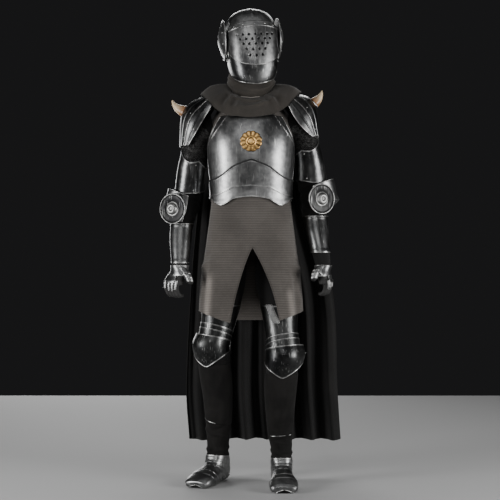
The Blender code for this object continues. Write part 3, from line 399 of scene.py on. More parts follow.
def surface(name, point, across, along, rims="", closed=False, mirrored=False, place=None, drop=None):
    """A grid of faces through point(a, b), with its own map in metres. Each vertex holds its distance from
    the open borders and half its row number. The named borders (low, high, start, end) are marked as rims."""
    place = above_ground(place)
    grid = [[place @ point(a, b) for a in across] for b in along]
    columns, rows = len(across), len(along)
    mesh = bpy.data.meshes.new(name)
    faces = []
    for row in range(rows - 1):
        for k in range(columns if closed else columns - 1):
            after = (k + 1) % columns
            low, high = row * columns, (row + 1) * columns
            corners = [low + k, low + after, high + after, high + k]
            faces.append(corners[::-1] if mirrored else corners)
    mesh.from_pydata([p for line in grid for p in line], [], faces)

    def lengths(points):
        total = [0.0]
        for first, second in zip(points, points[1:]):
            total.append(total[-1] + (second - first).length)
        return total

    across_m = [lengths(line + line[:1] if closed else line) for line in grid]
    along_m = [lengths([line[k] for line in grid]) for k in range(columns)]
    middle = across_m[rows // 2]
    flat = mesh.uv_layers.new(name="surface").data
    for face in mesh.polygons:
        wraps = closed and {v % columns for v in face.vertices} == {0, columns - 1}
        for loop in face.loop_indices:
            row, k = divmod(mesh.loops[loop].vertex_index, columns)
            flat[loop].uv = (middle[columns if wraps and k == 0 else k], along_m[k][row])
    course = mesh.attributes.new("course", "FLOAT", "POINT").data
    border = mesh.attributes.new("border", "FLOAT", "POINT").data
    for row in range(rows):
        for k in range(columns):
            near = [along_m[k][row], along_m[k][-1] - along_m[k][row]]
            if not closed:
                near += [across_m[row][k], across_m[row][-1] - across_m[row][k]]
            border[row * columns + k].value = min(near)
            course[row * columns + k].value = row / 2
    marks = mesh.attributes.new("rim", "BOOLEAN", "EDGE").data
    wanted = rims.split()
    for edge in mesh.edges:
        (row_a, a), (row_b, b) = (divmod(v, columns) for v in edge.vertices)
        marks[edge.index].value = (
            ("low" in wanted and row_a == row_b == 0)
            or ("high" in wanted and row_a == row_b == rows - 1)
            or ("start" in wanted and a == b == 0)
            or ("end" in wanted and a == b == columns - 1)
        )
    if drop:
        with reshaped(mesh) as net:
            spare = [face for face in net.faces if drop(face.calc_center_median())]
            bmesh.ops.delete(net, geom=spare, context="FACES")
    mesh["cut"] = (max(line[-1] for line in across_m), max(line[-1] for line in along_m))
    return linked(name, mesh)


def linked(name, mesh):
    thing = bpy.data.objects.new(name, mesh)
    bpy.context.collection.objects.link(thing)
    return thing


def geometry_tree(name, inputs):
    """An empty Geometry Nodes tree with a mesh in and out and named inputs, and its input values by name."""
    tree = bpy.data.node_groups.new(name, "GeometryNodeTree")
    tree.interface.new_socket("Mesh", in_out="INPUT", socket_type="NodeSocketGeometry")
    for label, kind in inputs.items():
        tree.interface.new_socket(label, in_out="INPUT", socket_type=kind)
    tree.interface.new_socket("Mesh", in_out="OUTPUT", socket_type="NodeSocketGeometry")
    nodes = Nodes(tree)
    source = tree.nodes.new("NodeGroupInput")
    values = {label: Value(nodes, source.outputs[label]) for label in ["Mesh", *inputs]}
    return tree, nodes, values


def close_tree(tree, nodes, shape, material):
    """Ends a tree: instances made real, smooth shading, and the finish."""
    real = nodes.node("GeometryNodeRealizeInstances", sockets={0: shape})
    smooth = nodes.node("GeometryNodeSetShadeSmooth", sockets={0: real})
    done = nodes.node("GeometryNodeSetMaterial", sockets={"Geometry": smooth, "Material": material})
    tree.links.new(done.socket, tree.nodes.new("NodeGroupOutput").inputs[0])
    return tree


def tube_tree():
    """Round tubes along every edge that is marked as a rim, lifted off the surface by a set height."""
    kinds = {"Radius": "NodeSocketFloat", "Lift": "NodeSocketFloat", "Material": "NodeSocketMaterial"}
    tree, nodes, given = geometry_tree("Tube along rims", kinds)
    normal = nodes.node("GeometryNodeInputNormal")
    lift = nodes.node("ShaderNodeVectorMath", {"operation": "SCALE"}, {0: normal, "Scale": given["Lift"]})
    raised = nodes.node("GeometryNodeSetPosition", sockets={"Geometry": given["Mesh"], "Offset": lift})
    marked = nodes.node("GeometryNodeInputNamedAttribute", {"data_type": "BOOLEAN"}, {"Name": "rim"})
    line = nodes.node("GeometryNodeMeshToCurve", sockets={"Mesh": raised, "Selection": marked})
    sockets = {"Resolution": 6, "Radius": given["Radius"]}
    ring = nodes.node("GeometryNodeCurvePrimitiveCircle", sockets=sockets)
    sockets = {"Curve": line, "Profile Curve": ring, "Fill Caps": True}
    tube = nodes.node("GeometryNodeCurveToMesh", sockets=sockets)
    return close_tree(tree, nodes, tube, given["Material"])


TUBE_TREE = tube_tree()


def evaluated(thing):
    """A plain copy of an object's mesh as its modifiers leave it."""
    deps = bpy.context.evaluated_depsgraph_get()
    source = thing.evaluated_get(deps)
    return bpy.data.meshes.new_from_object(source, preserve_all_data_layers=True, depsgraph=deps)


def grown(thing, tree, **inputs):
    """The plain mesh that a Geometry Nodes tree makes from an object, whose modifier is then removed."""
    step = thing.modifiers.new("Nodes", "NODES")
    step.node_group = tree
    for item in tree.interface.items_tree:
        if item.in_out == "INPUT" and item.name in inputs:
            step[item.identifier] = inputs[item.name]
    mesh = evaluated(thing)
    thing.modifiers.remove(step)
    return mesh


def built_on(base, tree, **inputs):
    """The object that a Geometry Nodes tree makes from a base, which it takes the place and name of."""
    name = base.name
    mesh = grown(base, tree, **inputs)
    bpy.data.objects.remove(base)
    return linked(name, mesh)


def as_one(name, things):
    """One object from several, which keep their maps and attributes."""
    if len(things) > 1:
        with bpy.context.temp_override(active_object=things[0], selected_editable_objects=things):
            bpy.ops.object.join()
    things[0].name = name
    return things[0]


def wall(thing, thickness, material, rim=0.0, rim_material=None):
    """Gives a surface its thickness, outward if positive, and rolls its marked rims over a wire."""
    name = thing.name
    thing.data.materials.append(material)
    thing.data.shade_smooth()
    tubes = []
    if rim:
        tube = grown(thing, TUBE_TREE, Radius=rim, Lift=thickness / 2, Material=rim_material or material)
        tubes.append(linked(name, tube))
    step = thing.modifiers.new("Wall", "SOLIDIFY")
    step.thickness = abs(thickness)
    step.offset = math.copysign(1.0, thickness)
    step.use_even_offset = True
    solid = linked(name, evaluated(thing))
    bpy.data.objects.remove(thing)
    return as_one(name, [solid, *tubes])


def fit(thing, slot, *nodes, body="suit"):
    """Carries a finished piece on its body, in place of its CAD nodes."""
    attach(thing, body)
    if nodes:
        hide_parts(*nodes)
    return thing


def sewn(sheet, slot, node, material, thickness=CLOTH, rim=0.0):
    """A sheet of cloth or leather, thickened inward."""
    piece = fit(wall(sheet, -thickness, material, rim), slot, node)
    return piece


def trunk(height, angle, out=0.0):
    """Point on the trunk, angle 0 in front and 90 at the wearer's left."""
    half_width, front, back = blend(TRUNK, height)
    across, ahead = oval(angle, TRUNK_POWER)
    depth = (front if ahead > 0 else back) + out
    return Vector((TRUNK_X + across * (half_width + out), -ahead * depth, height))


def rib_height(row):
    return mix(TUNIC_HEM, TUNIC_TOP, row / RIB_ROWS)


def tunic_cloth(angle, row):
    height = rib_height(row)
    return trunk(height, angle, creased(TUNIC_CREASES, angle, height) - RIB_DEPTH * (row % 2))


def right_front(share, row):
    return tunic_cloth(mix(SEAM_GAP - 90, blend(SLIT, rib_height(row))[0], share), row)


def left_front(share, row):
    return tunic_cloth(mix(blend(SLIT, rib_height(row))[1], 90 - SEAM_GAP, share), row)


def painted_thigh_highlight(x, height):
    """How strongly the knit is painted paler as a highlight, in one upright band over each thigh."""
    right = hump(x, mix(-0.170, -0.158, ease(0.65, 0.86, height)), 0.011) * ease(0.855, 0.80, height)
    left = hump(x, mix(0.168, 0.155, ease(0.65, 0.80, height)), 0.012) * ease(0.80, 0.75, height)
    return 0.85 * (right + 0.7 * left)


def hemmed(sheet):
    """Cuts a tunic panel along a hem that rises straight to each side, and marks the cut as its rim."""
    with reshaped(sheet.data) as net:
        for sign in SIDES.values():
            everything = net.verts[:] + net.edges[:] + net.faces[:]
            corner = (TRUNK_X + sign * HEM_LEVEL, 0, GROUND + TUNIC_HEM)
            slant = Vector((-sign * HEM_RISE, 0, HEM_SPREAD - HEM_LEVEL)).normalized()
            bmesh.ops.bisect_plane(net, geom=everything, plane_co=corner, plane_no=slant, clear_inner=True)
        rim = net.edges.layers.bool["rim"]
        for edge in net.edges:
            low, high = sorted(v.co.z for v in edge.verts)
            flat_enough = high - low < 0.6 * abs(edge.verts[0].co.x - edge.verts[1].co.x) + 0.0004
            if edge.is_boundary and high < GROUND + TUNIC_HEM + HEM_RISE + 0.004 and flat_enough:
                edge[rim] = True


# Arms: station, out_x, y, height, tilt, half_width, front, back. The tilt turns a section from level towards
# the armhole, which faces sideways.
ARM = {
    "right": (
        (0.85, 0.2765, -0.052, 0.850, 0.0, 0.0290, 0.0310, 0.0310),
        (0.881, 0.2770, -0.044, 0.881, 0.0, 0.0315, 0.0335, 0.0335),
        (0.96, 0.2770, -0.014, 0.960, 0.0, 0.0400, 0.0420, 0.0420),
        (1.04, 0.2720, 0.014, 1.040, 0.0, 0.0440, 0.0460, 0.0460),
        (1.10, 0.2540, 0.030, 1.100, 0.0, 0.0480, 0.0500, 0.0500),
        (1.177, 0.2425, 0.020, 1.177, 0.0, 0.0540, 0.0550, 0.0550),
        (1.26, 0.2340, 0.012, 1.260, 0.0, 0.0520, 0.0550, 0.0550),
        (1.34, 0.2220, 0.005, 1.340, 0.0, 0.0460, 0.0530, 0.0530),
        (1.40, 0.2050, 0.002, 1.385, 24.0, 0.0490, 0.0550, 0.0550),
        (1.46, 0.1780, 0.000, 1.414, 52.0, 0.0550, 0.0570, 0.0570),
        (1.50, 0.1460, 0.000, 1.425, 78.0, 0.0590, 0.0580, 0.0580),
    ),
    "left": (
        (0.85, 0.2900, -0.058, 0.850, 0.0, 0.0290, 0.0310, 0.0310),
        (0.881, 0.2880, -0.052, 0.881, 0.0, 0.0305, 0.0325, 0.0325),
        (0.926, 0.2800, -0.040, 0.926, 0.0, 0.0360, 0.0380, 0.0380),
        (1.00, 0.2690, -0.014, 1.000, 0.0, 0.0430, 0.0450, 0.0450),
        (1.07, 0.2620, 0.014, 1.070, 0.0, 0.0480, 0.0480, 0.0480),
        (1.13, 0.2560, 0.030, 1.130, 0.0, 0.0490, 0.0500, 0.0500),
        (1.20, 0.2480, 0.020, 1.200, 0.0, 0.0570, 0.0560, 0.0560),
        (1.28, 0.2400, 0.012, 1.280, 0.0, 0.0530, 0.0550, 0.0550),
        (1.32, 0.2337, 0.008, 1.320, 0.0, 0.0499, 0.0540, 0.0540),
        (1.36, 0.2270, 0.005, 1.360, 0.0, 0.0470, 0.0530, 0.0530),
        (1.42, 0.2070, 0.002, 1.408, 24.0, 0.0490, 0.0550, 0.0550),
        (1.47, 0.1780, 0.000, 1.432, 52.0, 0.0550, 0.0570, 0.0570),
        (1.50, 0.1460, 0.000, 1.440, 78.0, 0.0590, 0.0580, 0.0580),
    ),
}


def arm(side, station, angle, out=0.0):
    """Point on an arm, angle 0 in front and 90 outside."""
    out_x, y, height, tilt, half_width, front, back = blend(ARM[side], station)
    across, ahead = oval(angle, 2.0)
    reach = across * (half_width + out)
    lean = math.radians(tilt)
    return Vector(
        (
            SIDES[side] * (out_x + reach * math.cos(lean)),
            y - ahead * ((front if ahead > 0 else back) + out),
            height + reach * math.sin(lean),
        )
    )


# The armholes follow the arms: balls along each arm's top, inside which the tunic is cut away.
SHOULDER, ARMPIT = 1.50, 1.36
ARMHOLE_BALLS = []
for side, sign in SIDES.items():
    for station in spread(SHOULDER, ARMPIT, 16):
        ends = [arm(side, station, angle) for angle in (0, 90, 180, 270)]
        middle = sum(ends, Vector()) / 4 + Vector((0, 0, GROUND))
        if station == SHOULDER:
            mouth, outward = middle, (ends[1] - ends[3]).cross(Vector((0, -sign, 0))).normalized()
        ARMHOLE_BALLS.append((middle, (ends[1] - ends[3]).length / 2 + 0.001, mouth, outward))


def in_armhole(place):
    return any(
        (place - middle).length < radius and (place - mouth).dot(outward) > 0.001
        for middle, radius, mouth, outward in ARMHOLE_BALLS
    )


columns, ribs = spread(0, 1, 34), range(RIB_ROWS + 1)
right_half = surface("tunic_front_panel", right_front, columns, ribs, "low end", drop=in_armhole)
left_half = surface("tunic_front_panel", left_front, columns, ribs, "low start", drop=in_armhole)
right_half.data["cut"] = FRONT_CUT
tunic_front = as_one("tunic_front_panel", [right_half, left_half])
marks = tunic_front.data.attributes["rim"].data
for edge in tunic_front.data.edges:
    if min(tunic_front.data.vertices[v].co.z for v in edge.vertices) > GROUND + SLIT_TOP - 0.002:
        marks[edge.index].value = False
with reshaped(tunic_front.data) as net:
    bmesh.ops.remove_doubles(net, verts=net.verts, dist=0.0004)
# Painted highlight: each vertex gets how strongly the knit is painted paler in an upright band over each
# thigh.
rubbed = tunic_front.data.attributes.new("rubbed", "FLOAT", "POINT").data
for vertex, mark in zip(tunic_front.data.vertices, rubbed):
    mark.value = painted_thigh_highlight(vertex.co.x, vertex.co.z - GROUND)
around = spread(90 + SEAM_GAP, 270 - SEAM_GAP, 72)
tunic_back = surface("tunic_back_panel", tunic_cloth, around, ribs, "low", drop=in_armhole)
hemmed(tunic_front)
hemmed(tunic_back)
sewn(tunic_front, "knit", "tunic_front", TUNIC_KNIT, rim=HEM_BINDING)
sewn(tunic_back, "knit", "tunic_back", TUNIC_KNIT, rim=HEM_BINDING)


# Hose: a tube of black cloth over each leg, from under the tunic down into the greaves, wrinkled above and
# behind the knees.
HOSE_TOP, HOSE_TUCK = 1.01, 0.06
# Legs: height, out_x, y, half_width, front, back.
LEG = {
    "right": (
        (0.14, 0.1300, 0.050, 0.0430, 0.0450, 0.0450),
        (0.18, 0.1290, 0.046, 0.0460, 0.0460, 0.0470),
        (0.25, 0.1270, 0.036, 0.0500, 0.0480, 0.0520),
        (0.34, 0.1300, 0.020, 0.0550, 0.0520, 0.0620),
        (0.42, 0.1370, 0.005, 0.0600, 0.0560, 0.0680),
        (0.50, 0.1450, -0.010, 0.0600, 0.0590, 0.0620),
        (0.56, 0.1480, -0.018, 0.0600, 0.0620, 0.0600),
        (0.62, 0.1310, -0.010, 0.0620, 0.0680, 0.0680),
        (0.72, 0.1140, -0.002, 0.0740, 0.0800, 0.0820),
        (0.82, 0.1000, 0.004, 0.0800, 0.0880, 0.0900),
        (1.01, 0.0883, 0.004, 0.0740, 0.0880, 0.0940),
    ),
    "left": (
        (0.13, 0.1250, -0.034, 0.0420, 0.0450, 0.0450),
        (0.17, 0.1230, -0.036, 0.0450, 0.0450, 0.0460),
        (0.24, 0.1200, -0.042, 0.0500, 0.0470, 0.0510),
        (0.32, 0.1190, -0.052, 0.0560, 0.0520, 0.0620),
        (0.40, 0.1210, -0.064, 0.0620, 0.0560, 0.0680),
        (0.47, 0.1270, -0.074, 0.0620, 0.0580, 0.0620),
        (0.53, 0.1320, -0.078, 0.0600, 0.0620, 0.0600),
        (0.62, 0.1240, -0.054, 0.0620, 0.0660, 0.0680),
        (0.72, 0.1150, -0.032, 0.0740, 0.0780, 0.0820),
        (0.82, 0.1040, -0.013, 0.0830, 0.0860, 0.0900),
        (1.01, 0.0995, 0.004, 0.0750, 0.0900, 0.0960),
    ),
}
LEG_TURN = {"right": 26.0, "left": 2.0}
LEG_LEVELS = {
    "right": SimpleNamespace(knee=0.560, cuisse_top=0.715, greave_top=0.482, greave_low=0.250),
    "left": SimpleNamespace(knee=0.522, cuisse_top=0.715, greave_top=0.450, greave_low=0.205),
}
# Columns as in the tunic's creases, here and on the boots and sleeves.
HOSE_CREASES = (
    (180.0, 0.560, 40.0, 0.0002, 0.007, -0.0045),
    (165.0, 0.582, 30.0, -0.0003, 0.007, 0.0040),
    (200.0, 0.538, 34.0, 0.0003, 0.008, 0.0036),
    (230.0, 0.605, 26.0, 0.0006, 0.009, 0.0034),
    (140.0, 0.625, 24.0, -0.0006, 0.009, 0.0032),
    (210.0, 0.660, 30.0, 0.0005, 0.010, 0.0034),
    (160.0, 0.700, 26.0, -0.0005, 0.012, 0.0034),
    (190.0, 0.760, 30.0, 0.0004, 0.014, -0.0034),
)


def woven(name, dark, light, pitch, sheen):
    """Plain-woven cloth with threads both ways, slightly uneven in tone."""
    finish = Finish(name, Roughness=0.92, Sheen_Weight=sheen, Sheen_Roughness=0.5, Specular_IOR_Level=0.12)
    across, along = finish.surface()
    over, under = (across / pitch).wave(), (along / pitch).wave()
    check = (across / (2 * pitch)).wave().band(0.45, 0.55)
    thread = over * check + under * (1 - check)
    fade = finish.noise(6.0, 4.0, 0.6)
    fuzz = finish.noise(500.0, 3.0, 0.7)
    finish.feed(Base_Color=(fade * 0.5 + fuzz * 0.2 + thread * 0.3).band(0.25, 0.75).blend(dark, light))
    finish.bump(thread * 0.6 + fuzz * 0.4, 0.0006, 0.6)
    return finish.material


BLACK_CLOTH = woven("black_cloth", (0.0035, 0.0035, 0.0037), (0.013, 0.0125, 0.012), 0.0011, 0.04)


def leg(side, height, angle, out=0.0):
    """Point on a leg, angle 0 where the knee points and 90 outside."""
    out_x, y, half_width, front, back = blend(LEG[side], height)
    across, ahead = oval(angle, 2.1)
    turn = math.radians(LEG_TURN[side])
    wide = across * (half_width + out)
    deep = ahead * ((front if ahead > 0 else back) + out)
    outward = wide * math.cos(turn) + deep * math.sin(turn)
    forward = deep * math.cos(turn) - wide * math.sin(turn)
    return Vector((SIDES[side] * (out_x + outward), y - forward, height))


for side, sign in SIDES.items():

    def hose(angle, height):
        behind = ease(0.3, -0.5, math.cos(math.radians(angle)))
        return leg(side, height, angle, behind * creased(HOSE_CREASES, angle, height))

    rows = spread(LEG_LEVELS[side].greave_top - HOSE_TUCK, HOSE_TOP, 110)
    tube = surface("hose_tube_" + side, hose, turn_of(64), rows, closed=True, mirrored=sign < 0)
    sewn(tube, "black_cloth", "hose_" + side, BLACK_CLOTH)


# Boots: soft black suede, each closed over the toe and drawn up as one shaft, which sags in folds round the
# ankle.
LEATHER = 0.0022
BOOT_TOP = 0.300
# Feet: step, top_forward, top_up, heel_forward, heel_up, half_width, all from the ankle's foot point.
FOOT = (
    (0.00, 0.0450, 0.150, -0.0450, 0.150, 0.0430),
    (0.15, 0.0500, 0.116, -0.0500, 0.102, 0.0410),
    (0.30, 0.0600, 0.096, -0.0580, 0.054, 0.0400),
    (0.42, 0.0720, 0.084, -0.0560, 0.016, 0.0390),
    (0.55, 0.0900, 0.076, -0.0100, 0.0035, 0.0390),
    (0.70, 0.1220, 0.066, 0.0600, 0.0035, 0.0440),
    (0.85, 0.1580, 0.052, 0.1250, 0.0035, 0.0510),
    (0.95, 0.1820, 0.038, 0.1720, 0.0050, 0.0480),
    (1.00, 0.1920, 0.028, 0.1890, 0.0100, 0.0380),
)
FOOT_SCALE = {"right": 0.98, "left": 1.0}
BOOT_CREASES = (
    (10.0, 0.236, 60.0, 0.00015, 0.0065, 0.0036),
    (-30.0, 0.222, 44.0, -0.00030, 0.0060, -0.0030),
    (40.0, 0.210, 52.0, 0.00025, 0.0070, 0.0042),
    (-20.0, 0.196, 58.0, 0.00020, 0.0060, 0.0036),
    (60.0, 0.184, 46.0, -0.00030, 0.0060, -0.0026),
    (0.0, 0.172, 64.0, -0.00020, 0.0070, 0.0040),
    (160.0, 0.228, 50.0, 0.00020, 0.0070, 0.0036),
    (190.0, 0.205, 50.0, -0.00020, 0.0065, -0.0030),
    (170.0, 0.188, 54.0, 0.00020, 0.0065, 0.0036),
    (-110.0, 0.214, 40.0, 0.00030, 0.0065, 0.0034),
    (110.0, 0.198, 40.0, -0.00030, 0.0065, 0.0034),
)


def suede(name, dark, light):
    """Brushed leather with a short nap, rubbed lighter in clouds."""
    finish = Finish(name, Roughness=0.86, Sheen_Weight=0.03, Sheen_Roughness=0.45, Specular_IOR_Level=0.14)
    cloud = finish.noise(9.0, 5.0, 0.65)
    nap = finish.noise(330.0, 4.0, 0.75)
    streak = finish.noise(38.0, 3.0, 0.6, (1.0, 1.0, 0.35), 4.0)
    tone = (cloud * 0.5 + nap * 0.25 + streak * 0.25).band(0.34, 0.66)
    finish.feed(Base_Color=tone.blend(dark, light))
    finish.bump(nap * 0.5 + streak * 0.5, 0.0008, 0.6)
    return finish.material


SUEDE = suede("black_suede", (0.0024, 0.0022, 0.0021), (0.0105, 0.0098, 0.0091))


def foot(side, step, angle, out=0.0):
    """Point on a foot, angle 0 on the instep and 180 on the sole."""
    size = FOOT_SCALE[side]
    top_forward, top_up, heel_forward, heel_up, half_width = (size * v for v in blend(FOOT, step))
    across, ahead = oval(angle, 2.5)
    length = math.hypot(top_forward - heel_forward, top_up - heel_up) / 2
    reach = ahead * (length + out) / length
    forward = (top_forward + heel_forward) / 2 + reach * (top_forward - heel_forward) / 2
    up = (top_up + heel_up) / 2 + reach * (top_up - heel_up) / 2
    wide = across * (half_width + out)
    ankle_x, ankle_y = LEG[side][0][1:3]
    turn = math.radians(LEG_TURN[side])
    outward = wide * math.cos(turn) + forward * math.sin(turn)
    ahead_y = forward * math.cos(turn) - wide * math.sin(turn)
    return Vector((SIDES[side] * (ankle_x + outward), ankle_y - ahead_y, up))


for side, sign in SIDES.items():
    tip = (foot(side, 1.0, 0) + foot(side, 1.0, 180)) / 2

    def boot(angle, place_up):
        if place_up > 1:
            height = place_up - 1
            return leg(side, height, angle, creased(BOOT_CREASES, angle, height))
        if place_up < 0:
            return tip.lerp(foot(side, 1.0, angle), 0.01)
        fold = 0.0022 * ease(0.55, 1.0, place_up) * math.sin(place_up * 60 + angle / 40)
        return foot(side, 1 - place_up, angle, fold)

    shaft = spread(LEG[side][1][0], BOOT_TOP, 44)
    rows = [-1, *spread(0.0, 1.0, 60), *(1 + height for height in shaft)]
    tube = surface("boot_shaft_" + side, boot, turn_of(64), rows, closed=True, mirrored=sign < 0)
    with reshaped(tube.data) as net:
        toe_end = [edge for edge in net.edges if edge.is_boundary and edge.calc_length() < 0.001]
        bmesh.ops.holes_fill(net, edges=toe_end)
    sewn(tube, "suede", "boot_" + side, SUEDE, LEATHER)


# Arming sleeves: tubes of padded black cloth from the tunic's armholes down to the gloves. They show at the
# elbow, where they crease in its bend, and above the cuff.
ARM_TOP = 1.4992
WRIST = 0.8790
ARM_LEVELS = {
    "right": SimpleNamespace(
        rerebrace_top=1.345, rerebrace_low=1.160, elbow=1.099, vambrace_top=1.040, vambrace_low=0.884
    ),
    "left": SimpleNamespace(
        rerebrace_top=1.385, rerebrace_low=1.203, elbow=1.138, vambrace_top=1.070, vambrace_low=0.926
    ),
}
# The creases' heights are for an elbow at this height, and move with each side's own.
CREASED_ELBOW = 1.108
SLEEVE_CREASES = (
    (-60.0, 1.150, 50.0, 0.0002, 0.0075, 0.0040),
    (-90.0, 1.132, 44.0, -0.0003, 0.0065, -0.0034),
    (-70.0, 1.116, 52.0, 0.0002, 0.0075, 0.0044),
    (-100.0, 1.098, 46.0, 0.0002, 0.0065, 0.0036),
    (-40.0, 1.082, 40.0, -0.0003, 0.0065, -0.0030),
    (-80.0, 1.066, 50.0, 0.0002, 0.0075, 0.0040),
    (200.0, 1.142, 36.0, 0.0003, 0.0080, 0.0030),
    (220.0, 1.090, 36.0, -0.0003, 0.0080, 0.0030),
)

for side, sign in SIDES.items():
    levels = ARM_LEVELS[side]

    def sleeve(angle, station):
        bare = ease(levels.vambrace_top - 0.012, levels.vambrace_top + 0.004, station)
        bare *= ease(levels.rerebrace_low + 0.012, levels.rerebrace_low - 0.004, station)
        crease = creased(SLEEVE_CREASES, angle, station - levels.elbow + CREASED_ELBOW)
        return arm(side, station, angle, bare * crease)

    rows = spread(WRIST + 0.0003, ARM_TOP, 120)
    tube = surface("arming_sleeve_tube_" + side, sleeve, turn_of(56), rows, closed=True, mirrored=sign < 0)
    node = "arming_sleeve_" + side
    sewn(tube, "black_cloth", node, BLACK_CLOTH)


# Mail sleeves: short tubes of blackened wire rings over the upper arms. The rings lean one way and the other
# by rows, so that each meets its neighbours above and below.
MAIL_SEAT = 0.0008
MAIL_BOTTOM = {"right": 1.26, "left": 1.28}
MAIL_TOP = {"right": 1.46, "left": 1.47}
MAIL_ROWS, MAIL_ROUND = 34, 46
MAIL_OUT = MAIL_SEAT + 0.0009
MAIL_RING, MAIL_GAUGE, RING_LEAN = 0.0040, 0.00062, 0.42


def ring_tree():
    """Wire rings on points, each with its axis along the point's own direction."""
    kinds = {"Ring": "NodeSocketFloat", "Wire": "NodeSocketFloat", "Material": "NodeSocketMaterial"}
    tree, nodes, given = geometry_tree("Mail rings", kinds)
    hoop = nodes.node("GeometryNodeCurvePrimitiveCircle", sockets={"Resolution": 8, "Radius": given["Ring"]})
    wire = nodes.node("GeometryNodeCurvePrimitiveCircle", sockets={"Resolution": 3, "Radius": given["Wire"]})
    ring = nodes.node("GeometryNodeCurveToMesh", sockets={"Curve": hoop, "Profile Curve": wire})
    return close_tree(tree, nodes, facing_copies(nodes, given["Mesh"], ring), given["Material"])


def facing_copies(nodes, points, shape):
    """A copy of a shape on each point, its Z axis along the point's own direction."""
    facing = nodes.node("GeometryNodeInputNamedAttribute", {"data_type": "FLOAT_VECTOR"}, {"Name": "facing"})
    turn = nodes.node("FunctionNodeAlignRotationToVector", {"axis": "Z"}, {"Vector": facing})
    sockets = {"Points": points, "Instance": shape, "Rotation": turn}
    return nodes.node("GeometryNodeInstanceOnPoints", sockets=sockets)


RING_TREE = ring_tree()


def spots_mesh(name, spots, place=None):
    """Loose points with a direction each, from (point, direction) pairs."""
    place = above_ground(place)
    mesh = bpy.data.meshes.new(name)
    mesh.from_pydata([place @ point for point, _ in spots], [], [])
    facing = mesh.attributes.new("facing", "FLOAT_VECTOR", "POINT").data
    for spot, (_, outward) in zip(facing, spots):
        spot.vector = place.to_3x3() @ outward
    return linked(name, mesh)


def mail_wire():
    """Blackened iron wire, polished where the rings rub."""
    finish = Finish("mail_wire", Metallic=1.0, Roughness=0.42)
    tone = finish.noise(90.0, 3.0, 0.6).band(0.35, 0.65)
    finish.feed(Base_Color=tone.blend((0.035, 0.034, 0.033), (0.17, 0.168, 0.165)))
    return finish.material


MAIL_WIRE = mail_wire()
for side, sign in SIDES.items():
    spots = []
    for row, station in enumerate(spread(MAIL_BOTTOM[side] + 0.004, MAIL_TOP[side] - 0.003, MAIL_ROWS)):
        for k in range(MAIL_ROUND):
            angle = 360 * (k + 0.5 * (row % 2)) / MAIL_ROUND
            here = arm(side, station, angle, MAIL_OUT)
            around = arm(side, station, angle + 2, MAIL_OUT) - here
            up = arm(side, station + 0.004, angle, MAIL_OUT) - here
            outward = around.cross(up).normalized() * sign
            spots.append((here, outward + up.normalized() * (RING_LEAN if row % 2 else -RING_LEAN)))
    base = spots_mesh("mail_rings_" + side, spots)
    rings = built_on(base, RING_TREE, Ring=MAIL_RING, Wire=MAIL_GAUGE, Material=MAIL_WIRE)
    fit(rings, "mail", "mail_sleeve_" + side)


# Cuirass: forged and polished steel. The breastplate has a gusset at each armhole, a peaked plackart laps
# over its waist and a waved fauld shows below. The edges are rolled over wire, worn bright and painted
# lighter as a highlight, and a black bead along the plackart's top edge is a painted shadow.
PLATE = 0.0015
LAP = 0.0003
RIVET = 0.0028
SEAT = 0.0009
BREAST_OUT = SEAT + PLATE + 5 * LAP
CHEST_LOW, CHEST_HIGH, CHEST_DOME = 1.12, 1.50, 0.020
BREAST_LOW, WAIST_BEND, BREAST_TOP = 1.16, 1.2, 1.475
GUSSET_LOW, GUSSET_TOP = 1.345, 1.460
BACK_LOW, BACK_TOP = 1.131, 1.469
PLACKART_HALF_SPAN, FAULD_HALF_SPAN = 86, 84
# Half angle that the breastplate spans: height, half_angle.
BREAST_SPAN = (
    (1.16, 86.0),
    (1.30, 86.0),
    (1.335, 83.0),
    (1.355, 72.0),
    (1.375, 60.0),
    (1.41, 46.0),
    (1.45, 35.0),
    (1.48, 29.0),
)
# Edges of the lower plates: angle, plackart_top, fauld_top, plackart_bottom, fauld_bottom.
WAIST_EDGES = (
    (0.0, 1.284, 1.197, 1.187, 1.146),
    (20.0, 1.259, 1.190, 1.180, 1.137),
    (38.0, 1.228, 1.170, 1.160, 1.113),
    (52.0, 1.214, 1.162, 1.152, 1.120),
    (66.0, 1.210, 1.160, 1.150, 1.136),
    (86.0, 1.208, 1.158, 1.148, 1.142),
)
SCRATCHED, GRIMED, WORN = (0.62, 0.62, 0.61), (0.05, 0.045, 0.04), (0.66, 0.66, 0.65)


def steel(name, dark, light, gloss):
    """Dark polished plate, clouded, smeared and finely scratched, with dents and bright worn borders."""
    finish = Finish(name, Metallic=1.0)
    cloud = finish.noise(7.0, 5.0, 0.62)
    grain = finish.noise(55.0, 3.0, 0.5, shift=3.0)
    smear = finish.noise(16.0, 3.0, 0.5, (1.0, 1.0, 0.25), 7.0)
    scratch = finish.noise(260.0, 2.0, 0.4, (1.0, 0.6, 0.06), 11.0).band(0.62, 0.74)
    edge = 1 - finish.attribute("border").band(0.0006, 0.0060)
    wear = edge * (0.35 + 0.65 * grain.band(0.35, 0.65))
    tone = (cloud * 0.55 + grain * 0.30 + smear * 0.15).band(0.36, 0.64)
    base = (scratch * 0.35).blend(tone.blend(dark, light), SCRATCHED)
    base = (1.0 - edge * 0.25).blend(GRIMED, base)
    base = (wear * 0.55).blend(base, WORN)
    rough = gloss + 0.13 * smear.band(0.35, 0.75) + 0.10 * grain + 0.08 * scratch
    dents = finish.noise(11.0, 1.0, 0.4, shift=5.0)
    finish.feed(Base_Color=base, Roughness=rough)
    finish.bump(dents * 0.92 + grain * 0.05 + scratch * 0.03, 0.0030, 0.45)
    return finish.material


STEEL = steel("plate_steel", (0.120, 0.121, 0.123), (0.27, 0.271, 0.268), 0.29)
